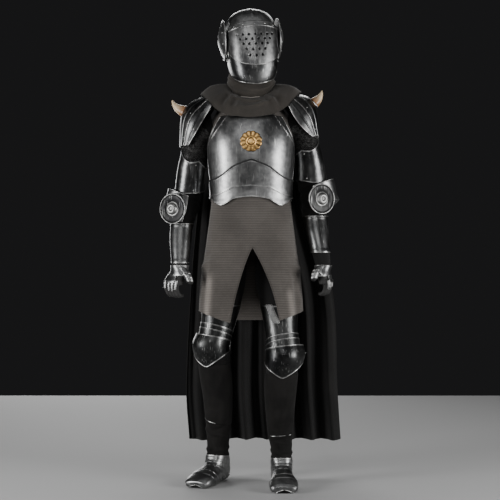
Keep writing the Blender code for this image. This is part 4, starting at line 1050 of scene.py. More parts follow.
# Painted shade: a darker copy of the plate steel for the pauldrons, rerebraces, vambraces and bevor, standing
# in for the shade on them.
SHADED_STEEL = steel("shaded_steel", (0.062, 0.063, 0.065), (0.150, 0.151, 0.149), 0.24)
# A lighter copy of the plate steel for rolled rims, rivet heads and the thigh chain: partly polished wear,
# partly a painted highlight that makes edges read bright.
HIGHLIGHT_RIM_STEEL = steel("rivet_steel", (0.26, 0.26, 0.26), (0.46, 0.46, 0.455), 0.27)


def head_tree():
    """Flattened round rivet heads on points."""
    kinds = {"Radius": "NodeSocketFloat", "Material": "NodeSocketMaterial"}
    tree, nodes, given = geometry_tree("Rivet heads", kinds)
    sockets = {"Segments": 12, "Rings": 6, "Radius": given["Radius"]}
    ball = nodes.node("GeometryNodeMeshUVSphere", sockets=sockets)
    head = nodes.node("GeometryNodeTransform", sockets={"Geometry": ball, "Scale": (1.0, 1.0, 0.6)})
    return close_tree(tree, nodes, facing_copies(nodes, given["Mesh"], head), given["Material"])


HEAD_TREE = head_tree()


def plate(name, node, point, across, along, rims="", rim=0.0, mirrored=False, place=None, metal=STEEL):
    """A steel plate, thickened outward, with rolled rims in the lighter rim steel, partly worn bright and
    partly a painted highlight.
    """
    face = surface(name, point, across, along, rims, mirrored=mirrored, place=place)
    return fit(wall(face, PLATE, metal, rim, HIGHLIGHT_RIM_STEEL), "steel", node)


def rivets(name, spots, radius=RIVET, body="suit", place=None):
    """Rivet heads at (point, outward direction) spots, as one piece."""
    heads = built_on(spots_mesh(name, spots, place), HEAD_TREE, Radius=radius, Material=HIGHLIGHT_RIM_STEEL)
    return fit(heads, "steel", body=body)


def beads(name, paths, radius, material=STEEL, slot="steel", body="suit", place=None):
    """Round beads or cords along paths of points, as one piece."""
    place = above_ground(place)
    points, edges = [], []
    for path in paths:
        edges += [(len(points) + k, len(points) + k + 1) for k in range(len(path) - 1)]
        points += [place @ point for point in path]
    mesh = bpy.data.meshes.new(name)
    mesh.from_pydata(points, edges, [])
    for mark in mesh.attributes.new("rim", "BOOLEAN", "EDGE").data:
        mark.value = True
    made = built_on(linked(name, mesh), TUBE_TREE, Radius=radius, Lift=0.0, Material=material)
    return fit(made, slot, body=body)


def spot_on(point, a, b, step_a, step_b, mirrored=False):
    """A place on a plate's outer face and its outward direction there."""
    here = point(a, b)
    outward = (point(a + step_a, b) - here).cross(point(a, b + step_b) - here).normalized()
    outward = -outward if mirrored else outward
    return here + outward * PLATE, outward


def chest(height, angle, out):
    """Point on the chest's plates: close to the trunk at their borders and domed between them."""
    share = min(max((height - CHEST_LOW) / (CHEST_HIGH - CHEST_LOW), 0.0), 1.0)
    dome = CHEST_DOME * math.sin(math.pi * share) ** 0.8 * max(0.0, math.cos(math.radians(angle))) ** 1.2
    point = trunk(height, angle, out)
    point.y -= dome
    return point


def breastplate(share, height):
    angle = share * blend(BREAST_SPAN, height)[0]
    if height < WAIST_BEND:
        waist = blend(WAIST_EDGES, abs(angle))[1] + 4 * LAP
        height = mix(waist, WAIST_BEND, max(0.0, (height - BREAST_LOW) / 0.04))
    return chest(height, angle, BREAST_OUT)


def plackart(angle, v):
    upper, _, lower, _ = blend(WAIST_EDGES, abs(angle))
    swell = 0.0010 * hump(v, 1.0, 0.05) + 0.0008 * hump(v, 0.0, 0.06)
    return chest(mix(lower, upper, v), angle, BREAST_OUT + PLATE + 3 * LAP + swell)


def fauld(angle, v):
    _, upper, _, lower = blend(WAIST_EDGES, abs(angle))
    flare = 0.0040 * ease(0.75, 0.0, v) ** 2
    return chest(mix(lower, upper, v), angle, BREAST_OUT + flare)


def backplate(share, height):
    span = mix(84.0, 50.0, max(0.0, (height - 1.33) / 0.14) ** 0.7)
    point = trunk(height, 180 + share * span, SEAT + 6 * LAP)
    point.y += 0.012 * math.sin(math.pi * (height - 1.13) / 0.34) * (1 - share**2)
    blades = 0.004 * hump(abs(share), 0.45, 0.28) * hump(height, 1.40, 0.05)
    point.y += blades + 0.0025 * hump(share, 0.0, 0.04) * ease(1.14, 1.2, height)
    return point


rows = [BREAST_LOW, 1.17, 1.18, 1.19, *spread(WAIST_BEND, BREAST_TOP, 66)]
plate("breastplate_shell", "breastplate", breastplate, spread(-1, 1, 96), rows, "high start end", rim=0.0015)
span = spread(-PLACKART_HALF_SPAN, PLACKART_HALF_SPAN, 96)
plate("plackart_shell", "plackart", plackart, span, spread(0, 1, 22), "low", rim=0.0011)
# Painted shadow: a black bead along the plackart's top edge stands in for the shade in the gap under it.
PLACKART_SHADOW = Finish("plackart_shadow_black", Base_Color=(0.006, 0.006, 0.006, 1.0), Roughness=0.6).material
shadow_bead_out = BREAST_OUT + 2 * PLATE + 3 * LAP
span = spread(-PLACKART_HALF_SPAN, PLACKART_HALF_SPAN, 120)
shadow_bead_path = [chest(blend(WAIST_EDGES, abs(a))[0] + 0.001, a, shadow_bead_out) for a in span]
beads("plackart_shadow_bead", [shadow_bead_path], 0.0036, PLACKART_SHADOW, "black_leather")
span = spread(-FAULD_HALF_SPAN, FAULD_HALF_SPAN, 96)
plate("fauld_shell", "fauld", fauld, span, spread(0, 1, 18), "low start end", rim=0.0026)
rows = spread(BACK_LOW, BACK_TOP, 60)
plate("backplate_shell", "backplate", backplate, spread(-1, 1, 84), rows, "low high start end", rim=0.0018)
for side, sign in SIDES.items():

    def gusset(share, height):
        start = blend(BREAST_SPAN, height)[0] - 5.0
        width = mix(15.0, 20.0, (height - 1.35) / 0.11)
        return chest(height, sign * (start + width * share), SEAT)

    rows = spread(GUSSET_LOW, GUSSET_TOP, 30)
    plate("gusset_shell_" + side, "gusset_" + side, gusset, spread(0, 1, 14), rows, "end", 0.0016, sign < 0)
    spots = [spot_on(breastplate, sign * 0.94, height, 0.01, 0.004) for height in (1.35, 1.385, 1.425)]
    spots.append(spot_on(plackart, sign * 83, 0.5, 0.5, 0.02))
    rivets("cuirass_rivets_" + side, spots)


# Rosette: a small round mount of cast brass with a domed middle in a plain ring and a border of long petals.
ROSETTE_HEIGHT, ROSETTE_RADIUS, ROSETTE_DEPTH = 1.3575, 0.041, 0.004
DOME_SHARE, RING_SHARE = 0.27, 0.42
PETALS = 12
ROSETTE_TURNS, ROSETTE_SHARES = turn_of(144), spread(0, 1, 40)
BRASS_HOLLOW, BRASS_WORN = (0.07, 0.034, 0.012), (0.60, 0.37, 0.14)


def brass():
    """Old gilt brass, dark in its hollows."""
    finish = Finish("old_brass", Metallic=1.0)
    cloud = finish.noise(60.0, 4.0, 0.6)
    relief = finish.attribute("border")
    tone = (relief * 0.8 + cloud * 0.3).band(0.15, 0.85)
    finish.feed(Base_Color=tone.blend(BRASS_HOLLOW, BRASS_WORN), Roughness=0.24 + 0.25 * cloud)
    finish.bump(cloud, 0.0006, 0.4)
    return finish.material


def petal(turn):
    """0 between two petals and 1 along the middle of each."""
    return abs(math.sin(math.radians(turn) * PETALS / 2)) ** 0.7


def rosette_relief(turn, share):
    """Height of the cast relief, 0 to 1, at an angle and a share of the radius."""
    if share < DOME_SHARE:
        return 0.55 + 0.45 * math.sqrt(max(0.0, 1 - (share / DOME_SHARE) ** 2))
    reach = ease(1.0, 0.90, share) * ease(0.46, 0.56, share)
    return max(0.95 * hump(share, RING_SHARE, 0.075), reach * (0.20 + 0.50 * petal(turn)), 0.12)


def rosette(turn, share):
    radius = 0.0004 + share * ROSETTE_RADIUS * (0.93 + 0.07 * petal(turn))
    height = ROSETTE_HEIGHT - radius * math.sin(math.radians(turn))
    aside = radius * math.cos(math.radians(turn)) / blend(TRUNK, height)[0]
    angle = math.degrees(math.asin(math.copysign(abs(aside) ** (TRUNK_POWER / 2), aside)))
    out = BREAST_OUT + PLATE + 2 * LAP + mix(0.0006, ROSETTE_DEPTH, rosette_relief(turn, share))
    return chest(height, angle, out)


rosette_face = surface("rosette_mount", rosette, ROSETTE_TURNS, ROSETTE_SHARES, closed=True)
tints = rosette_face.data.attributes["border"].data
for row, share in enumerate(ROSETTE_SHARES):
    for k, turn in enumerate(ROSETTE_TURNS):
        tints[row * len(ROSETTE_TURNS) + k].value = rosette_relief(turn, share)
fit(wall(rosette_face, -0.0006, brass()), "brass", "rosette")


# Leg plates: polished cuisses over the thighs, two lapping lames and a domed, pointed poleyn with a side
# wing at each knee, in a steel painted darker as shade, and stiff greaves faced with black suede that show a
# slanted steel rim below.
LAME_OUT = SEAT + PLATE + 4 * LAP
POLEYN_OUT = SEAT + 2 * PLATE + 7 * LAP + 0.0008
GREAVE_SLANT = {"right": 0.014, "left": 0.004}
GREAVE_RIM = {"right": (-12, 84), "left": (-52, 48)}
AROUND = spread(-112.5, 112.5, 64)
# Painted shade: the leg plates use a much darker copy of the plate steel.
SHADED_LEG_STEEL = steel("shaded_leg_steel", (0.022, 0.0225, 0.0235), (0.062, 0.063, 0.0615), 0.27)
for side, sign in SIDES.items():
    levels = LEG_LEVELS[side]
    knee = levels.knee
    mirrored = sign < 0

    def cuisse(angle, height):
        return leg(side, height, angle, SEAT)

    def knee_arch(angle):
        return 0.028 * math.cos(math.radians((angle - 34) * 0.8)) - 0.018

    def upper_lame(angle, v):
        return leg(side, knee + mix(0.040, 0.079, v) + knee_arch(angle), angle, LAME_OUT - 0.0006)

    def lower_lame(angle, v):
        return leg(side, knee + mix(0.020, 0.060, v) + knee_arch(angle), angle, LAME_OUT + 0.0014)

    def poleyn(angle, v):
        frontal = max(0.0, math.cos(math.radians(angle * 0.8)))
        pointed = 1 - math.sqrt(math.sin(math.radians(angle * 0.8)) ** 2 + 0.012)
        bottom = knee - mix(0.026, 0.093, pointed)
        height = mix(bottom, knee + 0.036 + 0.8 * knee_arch(angle), v)
        rise = (height - knee) / 0.08
        knob = 0.020 * math.exp(-(rise**2) * 1.6) * frontal**2
        wing = 0.016 * hump(angle, 92, 24) * math.exp(-((rise - 0.1) ** 2) * 3)
        return leg(side, height, angle, POLEYN_OUT + knob + wing)

    def greave_low(angle):
        return levels.greave_low + GREAVE_SLANT[side] * math.sin(math.radians(angle - 20))

    def greave(angle, v):
        height = mix(greave_low(angle), levels.greave_top, v)
        crease = creased(BOOT_CREASES, angle, height - levels.greave_low + 0.16)
        return leg(side, height, angle, SEAT + LEATHER + 0.2 * crease)

    names = "cuisse_shell_" + side, "cuisse_" + side
    rows = spread(knee + 0.045, levels.cuisse_top, 26)
    plate(*names, cuisse, AROUND, rows, "high start end", 0.0015, mirrored, metal=SHADED_LEG_STEEL)
    lames = []
    for lame in (upper_lame, lower_lame):
        face = surface("lame", lame, AROUND, spread(0, 1, 8), "high", mirrored=mirrored)
        lames.append(wall(face, PLATE, SHADED_LEG_STEEL, 0.0015, HIGHLIGHT_RIM_STEEL))
    fit(as_one("knee_lames_" + side, lames), "steel", "poleyn_lames_" + side)
    names = "poleyn_shell_" + side, "poleyn_" + side
    plate(*names, poleyn, AROUND, spread(0, 1, 40), "low high start end", 0.0019, mirrored, metal=SHADED_LEG_STEEL)
    around, rows = turn_of(72), spread(0, 1, 60)
    shin = surface("greave_shell_" + side, greave, around, rows, closed=True, mirrored=mirrored)
    sewn(shin, "suede", "greave_" + side, SUEDE, LEATHER)
    rim_angles = spread(*GREAVE_RIM[side], 40)
    beads("greave_rim_" + side, [[leg(side, greave_low(a), a, SEAT + LEATHER) for a in rim_angles]], 0.0017)
    spots = [spot_on(poleyn, a, 0.55, 1, 0.02, mirrored) for a in (-100, 88)]
    for height in (knee + 0.10, levels.cuisse_top - 0.02):
        spots += [spot_on(cuisse, a, height, 1, 0.004, mirrored) for a in (-104, 104)]
    rivets("leg_rivets_" + side, spots)


# Thigh chain: a short strip of linked wire rings, four abreast, that hangs slanting on the left cuisse below
# the tunic's slit.
CHAIN_STRANDS, CHAIN_LINKS, CHAIN_PITCH = 4, 13, 0.0052
CHAIN_RING, CHAIN_GAUGE = 0.0052, 0.0012
CHAIN_TOP, CHAIN_ANGLE, CHAIN_SLANT = 0.716, -40, 1.2
CHAIN_OUT = SEAT + PLATE + 0.0024
chain_spots = []
for strand in range(CHAIN_STRANDS):
    for k in range(CHAIN_LINKS):
        angle, height = CHAIN_ANGLE + 5.0 * strand + CHAIN_SLANT * k, CHAIN_TOP - CHAIN_PITCH * k
        here = leg("left", height, angle, CHAIN_OUT)
        across = leg("left", height, angle + 2, CHAIN_OUT) - here
        outward = across.cross(Vector((0, 0, 1))).normalized()
        chain_spots.append((here, outward + Vector((0, 0, 0.5 if (k + strand) % 2 else -0.5))))
base = spots_mesh("thigh_chain", chain_spots)
fit(built_on(base, RING_TREE, Ring=CHAIN_RING, Wire=CHAIN_GAUGE, Material=HIGHLIGHT_RIM_STEEL), "mail")


# Sabatons: lapping steel lames over the instep and a wide toe cap with a rolled front edge.
OVER_FOOT = spread(-135, 135, 64)
LAMES, LAME_PITCH, LAME_END = 5, 0.11, 0.70
for side, sign in SIDES.items():
    mirrored = sign < 0
    tip = (foot(side, 1.0, 0) + foot(side, 1.0, 180)) / 2
    turn = math.radians(LEG_TURN[side])
    forward = Vector((sign * math.sin(turn), -math.cos(turn), 0))

    def upper(angle, step):
        lame = (0.85 - step) / LAME_PITCH
        return foot(side, step, angle, SEAT + 0.0016 * (lame - math.floor(lame)))

    def toe(angle, place_up):
        out = SEAT + PLATE + 3 * LAP
        if place_up < 0:
            rim = foot(side, 1.0, angle, out) + forward * out
            return tip.lerp(rim, 0.03) + forward * out * 0.9
        lame = 0.0018 * ease(0.17, 0.19, place_up) * ease(0.31, 0.19, place_up)
        point = foot(side, 1 - place_up, angle, out + lame)
        return point + forward * out * max(0.0, 1 - 8 * place_up)

    steps = []
    for k in range(LAMES):
        start = LAME_END - LAME_PITCH * k
        steps += spread(start - 0.0001, start - LAME_PITCH + 0.0001, 7)
    names = "sabaton_lames_" + side, "sabaton_upper_" + side
    plate(*names, upper, OVER_FOOT, steps, "high start end", 0.0014, mirrored)
    names = "sabaton_cap_" + side, "sabaton_toe_" + side
    plate(*names, toe, OVER_FOOT, [-1, *spread(0, 0.30, 40)], "high start end", 0.0014, mirrored)
    places = [(a, 0.64 - LAME_PITCH * k) for a in (-110, 110) for k in range(LAMES)]
    rivets("sabaton_rivets_" + side, [spot_on(upper, *at, 1, -0.01, mirrored) for at in places], 0.0024)


# Arm plates: a rerebrace round the upper arm, a spiked couter over the elbow's point, a round boss disc in
# front of the bend and a long vambrace, all riveted and rolled at their ends.
REREBRACE_DIP = {"right": 0.050, "left": 0.040}
COUTER_SPAN = 202.5
for side, sign in SIDES.items():
    levels = ARM_LEVELS[side]
    mirrored = sign < 0

    def rerebrace(angle, v):
        inward = max(0.0, -math.sin(math.radians(angle)))
        frontal = max(0.0, math.cos(math.radians(angle)))
        outside = max(0.0, math.sin(math.radians(angle))) ** 2
        dip = REREBRACE_DIP[side] * max(inward, 0.6 * frontal)
        top = levels.rerebrace_top - mix(0.034, 0.004, outside) - dip
        bottom = levels.rerebrace_low + 0.012 * (1 - frontal if side == "right" else inward)
        band = 0.0010 * (hump(v, 0.0, 0.07) + hump(v, 1.0, 0.07))
        return arm(side, mix(bottom, top, v), angle, MAIL_SEAT + 0.0012 + 4 * LAP + band)

    def couter(angle, rise):
        outward = max(0.0, math.sin(math.radians(angle / COUTER_SPAN * 180)))
        crest = 0.050 * (1 - abs(rise)) ** 0.9 * outward**1.5
        flare = 0.024 * max(0.0, rise) ** 1.5 * outward
        height = levels.elbow + rise * mix(0.050, 0.082, outward * max(0.0, rise))
        return arm(side, height, angle, mix(0.0020, 0.0068, (rise + 1) / 2) + crest + flare)

    def vambrace(angle, station):
        low_band = ease(levels.vambrace_low + 0.014, levels.vambrace_low + 0.010, station)
        high_band = ease(levels.vambrace_top - 0.012, levels.vambrace_top - 0.008, station)
        return arm(side, station, angle, SEAT + 0.0012 * (low_band + high_band))

    names = "rerebrace_shell_" + side, "rerebrace_" + side
    span = spread(-157.5, 157.5, 72)
    plate(*names, rerebrace, span, spread(0, 1, 32), "low high", 0.0019, mirrored, metal=SHADED_STEEL)
    names = "couter_shell_" + side, "couter_" + side
    around = spread(0, COUTER_SPAN, 64)
    plate(*names, couter, around, spread(-1, 1, 44), "low high start end", 0.0018, mirrored)
    names = "vambrace_shell_" + side, "vambrace_" + side
    span, rows = spread(-157.5, 180, 76), spread(levels.vambrace_low, levels.vambrace_top, 40)
    plate(*names, vambrace, span, rows, "low high", 0.0019, mirrored, metal=SHADED_STEEL)
    couter_edges = [[couter(a, 1) for a in around], [couter(a, -1) for a in around]]
    beads("couter_rims_" + side, couter_edges, 0.0019)
    spots = []
    for height in (levels.vambrace_low + 0.03, levels.vambrace_top - 0.03):
        spots += [spot_on(vambrace, a, height, 1, 0.004, mirrored) for a in (-150, 172)]
    for v in (0.10, 0.90):
        spots += [spot_on(rerebrace, a, v, 1, 0.02, mirrored) for a in (-20, 150)]
    rivets("arm_rivets_" + side, spots)


def turned(name, outline, segments, place, rims, material):
    """A solid turned about its own X axis through an outline of (x, radius) points, with worn rims."""

    def point(angle, k):
        x, radius = outline[k]
        turn = math.radians(angle)
        return Vector((x, radius * math.sin(turn), radius * math.cos(turn)))

    thing = surface(name, point, turn_of(segments), range(len(outline)), closed=True, place=place)
    border = thing.data.attributes["border"].data
    for k, (_, radius) in enumerate(outline):
        near = min(abs(radius - rim) for rim in rims)
        for j in range(segments):
            border[k * segments + j].value = near
    with reshaped(thing.data) as net:
        bmesh.ops.remove_doubles(net, verts=net.verts, dist=0.0002)
        bmesh.ops.recalc_face_normals(net, faces=net.faces)
    thing.data.materials.append(material)
    thing.data.shade_smooth()
    return thing


def rolled(centre, radius, start, end, steps):
    """Outline points round a rolled rim: its centre as (x, radius), and angles from the axis."""
    return [
        (centre[0] + radius * math.cos(math.radians(a)), centre[1] + radius * math.sin(math.radians(a)))
        for a in spread(start, end, steps)
    ]


ELBOW_DISC = [
    (0.0150, 0.0),
    (0.0148, 0.0030),
    (0.0152, 0.0060),
    (0.0180, 0.0082),
    (0.0196, 0.0108),
    (0.0200, 0.0135),
    (0.0190, 0.0165),
    (0.0165, 0.0195),
    (0.0130, 0.0220),
    (0.0100, 0.0232),
    (0.0078, 0.0236),
    (0.0072, 0.0246),
    (0.0070, 0.0262),
    (0.0060, 0.0300),
    (0.0045, 0.0380),
    (0.0036, 0.0450),
    (0.0037, 0.0500),
    (0.0046, 0.0545),
    *rolled((0.0046, 0.0583), 0.0026, -50, 180, 9),
    (0.0006, 0.0560),
    (0.0, 0.0540),
    (0.0, 0.0100),
    (-0.0060, 0.0100),
    (-0.0060, 0.0),
]
BLACKENED = steel("blackened_steel", (0.010, 0.010, 0.0105), (0.028, 0.028, 0.0275), 0.34)
BRIGHT_RIMS = (0.0605, 0.0240, 0.0180, 0.0110, 0.0060)
# Place on each elbow: reach forward from the arm's axis, slide outward along the disc.
DISC_PLACE = {"right": (0.0845, 0.010), "left": (0.0795, -0.015)}
DISC_TURN = math.radians(30)
for side, sign in SIDES.items():
    elbow = ARM_LEVELS[side].elbow
    reach, slide = DISC_PLACE[side]
    out_x, y = blend(ARM[side], elbow)[:2]
    ahead, aside = math.cos(DISC_TURN), math.sin(DISC_TURN)
    facing = Vector((sign * aside, -ahead, 0))
    along_disc = Vector((sign * ahead, aside, 0))
    basis = Matrix.Identity(4)
    basis.col[0].xyz = facing
    basis.col[1].xyz = Vector((0, 0, 1)).cross(facing)
    basis.col[2].xyz = (0, 0, 1)
    basis.col[3].xyz = Vector((sign * out_x, y, elbow)) + facing * reach + along_disc * slide
    disc = turned("elbow_disc_" + side, ELBOW_DISC, 80, basis, BRIGHT_RIMS, BLACKENED)
    fit(disc, "steel", "couter_disc_" + side)


# Gauntlets: half-closed gloves of black leather. A broad steel plate covers the back of each hand, two lames
# the knuckles, two each finger and three the thumb, with a curved web plate at the thumb's root.
# Hands: step, out_x, y, height, tilt, half_thickness, half_breadth.
HAND = {
    "right": (
        (0.00, 0.2770, -0.0446, 0.8787, 0.0, 0.0312, 0.0332),
        (0.20, 0.2810, -0.0520, 0.8550, 0.0, 0.0280, 0.0370),
        (0.40, 0.2900, -0.0600, 0.8300, 8.0, 0.0240, 0.0430),
        (0.60, 0.2990, -0.0660, 0.8050, 4.0, 0.0220, 0.0440),
        (0.75, 0.3020, -0.0650, 0.7830, -12.0, 0.0200, 0.0410),
        (0.88, 0.2930, -0.0600, 0.7620, -46.0, 0.0180, 0.0370),
        (1.00, 0.2730, -0.0560, 0.7540, -80.0, 0.0120, 0.0320),
    ),
    "left": (
        (0.00, 0.2881, -0.0524, 0.8787, 0.0, 0.0304, 0.0324),
        (0.20, 0.2890, -0.0590, 0.8550, 0.0, 0.0270, 0.0360),
        (0.40, 0.2920, -0.0660, 0.8300, 5.0, 0.0240, 0.0420),
        (0.60, 0.2960, -0.0710, 0.8080, 2.0, 0.0220, 0.0420),
        (0.75, 0.2970, -0.0700, 0.7880, -12.0, 0.0200, 0.0390),
        (0.88, 0.2880, -0.0650, 0.7690, -46.0, 0.0180, 0.0350),
        (1.00, 0.2700, -0.0610, 0.7620, -80.0, 0.0120, 0.0300),
    ),
}
HAND_TURN = {"right": 48.0, "left": 20.0}
# Thumbs: step, out_x, y, height, radius.
THUMB = {
    "right": (
        (0.0, 0.2680, -0.0760, 0.8640, 0.0140),
        (0.5, 0.2440, -0.0960, 0.8320, 0.0145),
        (1.0, 0.2310, -0.1030, 0.8010, 0.0115),
    ),
    "left": (
        (0.0, 0.2780, -0.0790, 0.8700, 0.0140),
        (0.5, 0.2570, -0.1030, 0.8450, 0.0145),
        (1.0, 0.2480, -0.1160, 0.8130, 0.0115),
    ),
}
THUMB_LEAN = 0.3
# Fingers: place along the breadth, -1 to 1, radius, reach.
FINGERS = (
    (-0.78, 0.0094, 0.93),
    (-0.26, 0.0106, 0.99),
    (0.26, 0.0110, 1.00),
    (0.78, 0.0106, 0.97),
)


def palm(side, step, thick, broad):
    """Point in a hand's section, thick towards its back and broad towards the thumb."""
    out_x, y, height, tilt = blend(HAND[side], step)[:4]
    lean, turn = math.radians(tilt), math.radians(HAND_TURN[side] * min(1.0, max(0.0, step) / 0.4))
    outward = thick * math.cos(lean) * math.cos(turn) - broad * math.sin(turn)
    forward = thick * math.cos(lean) * math.sin(turn) + broad * math.cos(turn)
    return Vector((SIDES[side] * (out_x + outward), y - forward, height + thick * math.sin(lean)))


def hand(side, step, angle, out=0.0):
    """Point on a gloved hand, angle 90 on its back."""
    thickness, breadth = blend(HAND[side], step)[4:]
    across, ahead = oval(angle, 2.2)
    return palm(side, step, across * (thickness + out), ahead * (breadth + out))


def finger(side, number, step, angle, out=0.0):
    """Point on a finger's round section, angle 90 on its back."""
    place, radius, reach = FINGERS[number]
    thickness, breadth = blend(HAND[side], step * reach)[4:]
    sine, cosine = oval(angle, 2.0)
    size = radius * mix(1.0, 0.86, max(0.0, (step - 0.6) / 0.4))
    thick = max(0.0, thickness - radius) + sine * (size + out)
    return palm(side, step * reach, thick, place * (breadth - 0.6 * radius) + cosine * (size + out))


def thumb(side, step, angle, out=0.0):
    """Point on a thumb, a round section across its path."""
    out_x, y, height, radius = blend(THUMB[side], step)
    sine, cosine = oval(angle, 2.0)
    radius += out
    outward = out_x + sine * radius
    return Vector((SIDES[side] * outward, y - cosine * radius, height + cosine * radius * THUMB_LEAN))


def glove_leather():
    """Smooth black leather, grained and creased, a little polished on its ridges."""
    finish = Finish("glove_leather", Specular_IOR_Level=0.3)
    grain = finish.noise(240.0, 4.0, 0.6)
    cloud = finish.noise(26.0, 4.0, 0.6, shift=2.0)
    tone = cloud.band(0.3, 0.7).blend((0.008, 0.008, 0.008), (0.026, 0.025, 0.024))
    finish.feed(Base_Color=tone, Roughness=0.52 + 0.3 * cloud)
    finish.bump(grain * 0.6 + cloud * 0.4, 0.0010, 0.6)
    return finish.material


def closed_tube(name, point, rows, segments, mirrored):
    """A closed solid through round sections, with flat ends."""
    tube = surface(name, point, turn_of(segments), rows, closed=True, mirrored=mirrored)
    with reshaped(tube.data) as net:
        bmesh.ops.holes_fill(net, edges=[edge for edge in net.edges if edge.is_boundary])
        bmesh.ops.recalc_face_normals(net, faces=net.faces)
    return tube


GLOVE_LEATHER = glove_leather()
GLOVE_WALL, HAND_LAME, SKIN_VOXEL = 0.0012, 0.0009, 0.0017
# Lames: first and last step that each covers, and how far it lies out from the glove.
FINGER_LAMES = ((0.56, 0.68, 0.0024), (0.66, 0.77, 0.0016))
KNUCKLE_LAMES = ((0.36, 0.50, 0.0030), (0.47, 0.60, 0.0036))
THUMB_LAMES = ((0.02, 0.40, 0.0030), (0.36, 0.66, 0.0020), (0.62, 0.86, 0.0012))
for side, sign in SIDES.items():
    mirrored = sign < 0

    def body(angle, step):
        point = hand(side, max(step, 0.0), angle, -0.0006)
        return point + Vector((0, 0, 0.012)) if step < 0 else point

    def digit(angle, step):
        size = math.sqrt(max(0.02, 1 - max(0.0, (step - 0.86) / 0.15) ** 2))
        middle = (thumb(side, step, 0) + thumb(side, step, 180)) / 2
        return middle.lerp(thumb(side, step, angle), size)

    forms = [
        closed_tube("glove_form", body, [-1, *spread(0.0, 0.66, 20)], 40, mirrored),
        closed_tube("glove_form", digit, spread(0.0, 1.0, 20), 24, mirrored),
    ]
    for number in range(len(FINGERS)):

        def finger_skin(angle, step):
            size = math.sqrt(max(0.02, 1 - max(0.0, (step - 0.92) / 0.085) ** 2))
            middle = (finger(side, number, step, 0) + finger(side, number, step, 180)) / 2
            knuckle = 1 + 0.05 * hump(step, 0.74, 0.03) + 0.05 * hump(step, 0.88, 0.025)
            return middle.lerp(finger(side, number, step, angle, -0.0004), size * knuckle)

        forms.append(closed_tube("glove_form", finger_skin, spread(0.52, 1.0, 26), 20, mirrored))
    glove = as_one("glove_skin_" + side, forms)
    skin = glove.modifiers.new("Skin", "REMESH")
    skin.mode = "VOXEL"
    skin.voxel_size = SKIN_VOXEL
    relax = glove.modifiers.new("Relax", "SMOOTH")
    relax.factor = 0.5
    relax.iterations = 4
    glove.data = evaluated(glove)
    glove.modifiers.clear()
    glove.data.materials.clear()
    cuff = (0, 0, GROUND + WRIST - 0.0003)
    with reshaped(glove.data) as net:
        everything = net.verts[:] + net.edges[:] + net.faces[:]
        bmesh.ops.bisect_plane(net, geom=everything, plane_co=cuff, plane_no=(0, 0, 1), clear_outer=True)
    fit(wall(glove, -GLOVE_WALL, GLOVE_LEATHER), "black_leather", "glove_" + side)

    def back_plate(across, step):
        wrist_share = ease(0.38, 0.0, step)
        turned_to = mix(mix(-18, -72, wrist_share), mix(157.5, 112, wrist_share), across)
        over_thumb = 0.008 * ease(60, -30, turned_to) * ease(0.04, 0.34, step)
        return hand(side, step, turned_to, SEAT + 0.0045 * hump(step, 0.04, 0.12) + over_thumb)

    names = "hand_plate_" + side, "gauntlet_back_" + side
    span, rows = spread(0, 1, 48), spread(0.38, 0.04, 26)
    plate(*names, back_plate, span, rows, "low high start end", 0.0014, mirrored)
    lames = []

    def add_lame(point, across, along, rims="low", rim=0.0009, turned_over=mirrored):
        face = surface("lame", point, across, along, rims, mirrored=turned_over)
        lames.append(wall(face, HAND_LAME, STEEL, rim))

    for first, last, out in KNUCKLE_LAMES:

        def knuckle_lame(angle, step):
            swell = 0.0022 * abs(math.cos(math.radians((angle - 90) * 2.7))) * ease(0.46, 0.56, step)
            return hand(side, step, angle, out + swell)

        add_lame(knuckle_lame, spread(62, 162, 40), spread(last, first, 10), rim=0.0010)

    def thumb_web(share, v):
        palm_edge = hand(side, mix(0.05, 0.38, v), mix(-8, 24, v), SEAT + 0.0020)
        thumb_edge = thumb(side, mix(0.02, 0.48, v), 20, 0.0034)
        bulge = 0.005 * math.sin(math.pi * share)
        return palm_edge.lerp(thumb_edge, share) + Vector((0, -bulge, 0))

    add_lame(thumb_web, spread(0, 1, 16), spread(0, 1, 16), "high", 0.0010, not mirrored)
    for number in range(len(FINGERS)):
        for first, last, out in FINGER_LAMES:

            def finger_lame(angle, step):
                return finger(side, number, step, angle, out)

            add_lame(finger_lame, spread(50, 156, 10), spread(last, first, 6))
    for first, last, out in THUMB_LAMES:

        def thumb_lame(angle, step):
            return thumb(side, step, angle, out)

        add_lame(thumb_lame, spread(-60, 100, 14), spread(last, first, 6))
    fit(as_one("finger_lames_" + side, lames), "steel", "gauntlet_fingers_" + side)


# Pauldrons: a steel cap over a front and a back lame on each shoulder, ridged along the neck side, with a
# horn tip set in the point of each.
# Sections from the neck outward: step, ridge_out, ridge_height, edge_out, edge_height, depth.
PAULDRON = {
    "right": (
        (0.00, 0.150, 1.557, 0.138, 1.524, 0.088),
        (0.25, 0.200, 1.540, 0.164, 1.480, 0.096),
        (0.50, 0.248, 1.510, 0.190, 1.437, 0.094),
        (0.70, 0.273, 1.462, 0.213, 1.398, 0.086),
        (1.00, 0.278, 1.348, 0.243, 1.350, 0.066),
    ),
    "left": (
        (0.00, 0.146, 1.572, 0.126, 1.528, 0.088),
        (0.25, 0.192, 1.556, 0.152, 1.497, 0.096),
        (0.50, 0.238, 1.538, 0.180, 1.449, 0.094),
        (0.70, 0.264, 1.492, 0.208, 1.415, 0.086),
        (1.00, 0.272, 1.388, 0.246, 1.384, 0.066),
    ),
}
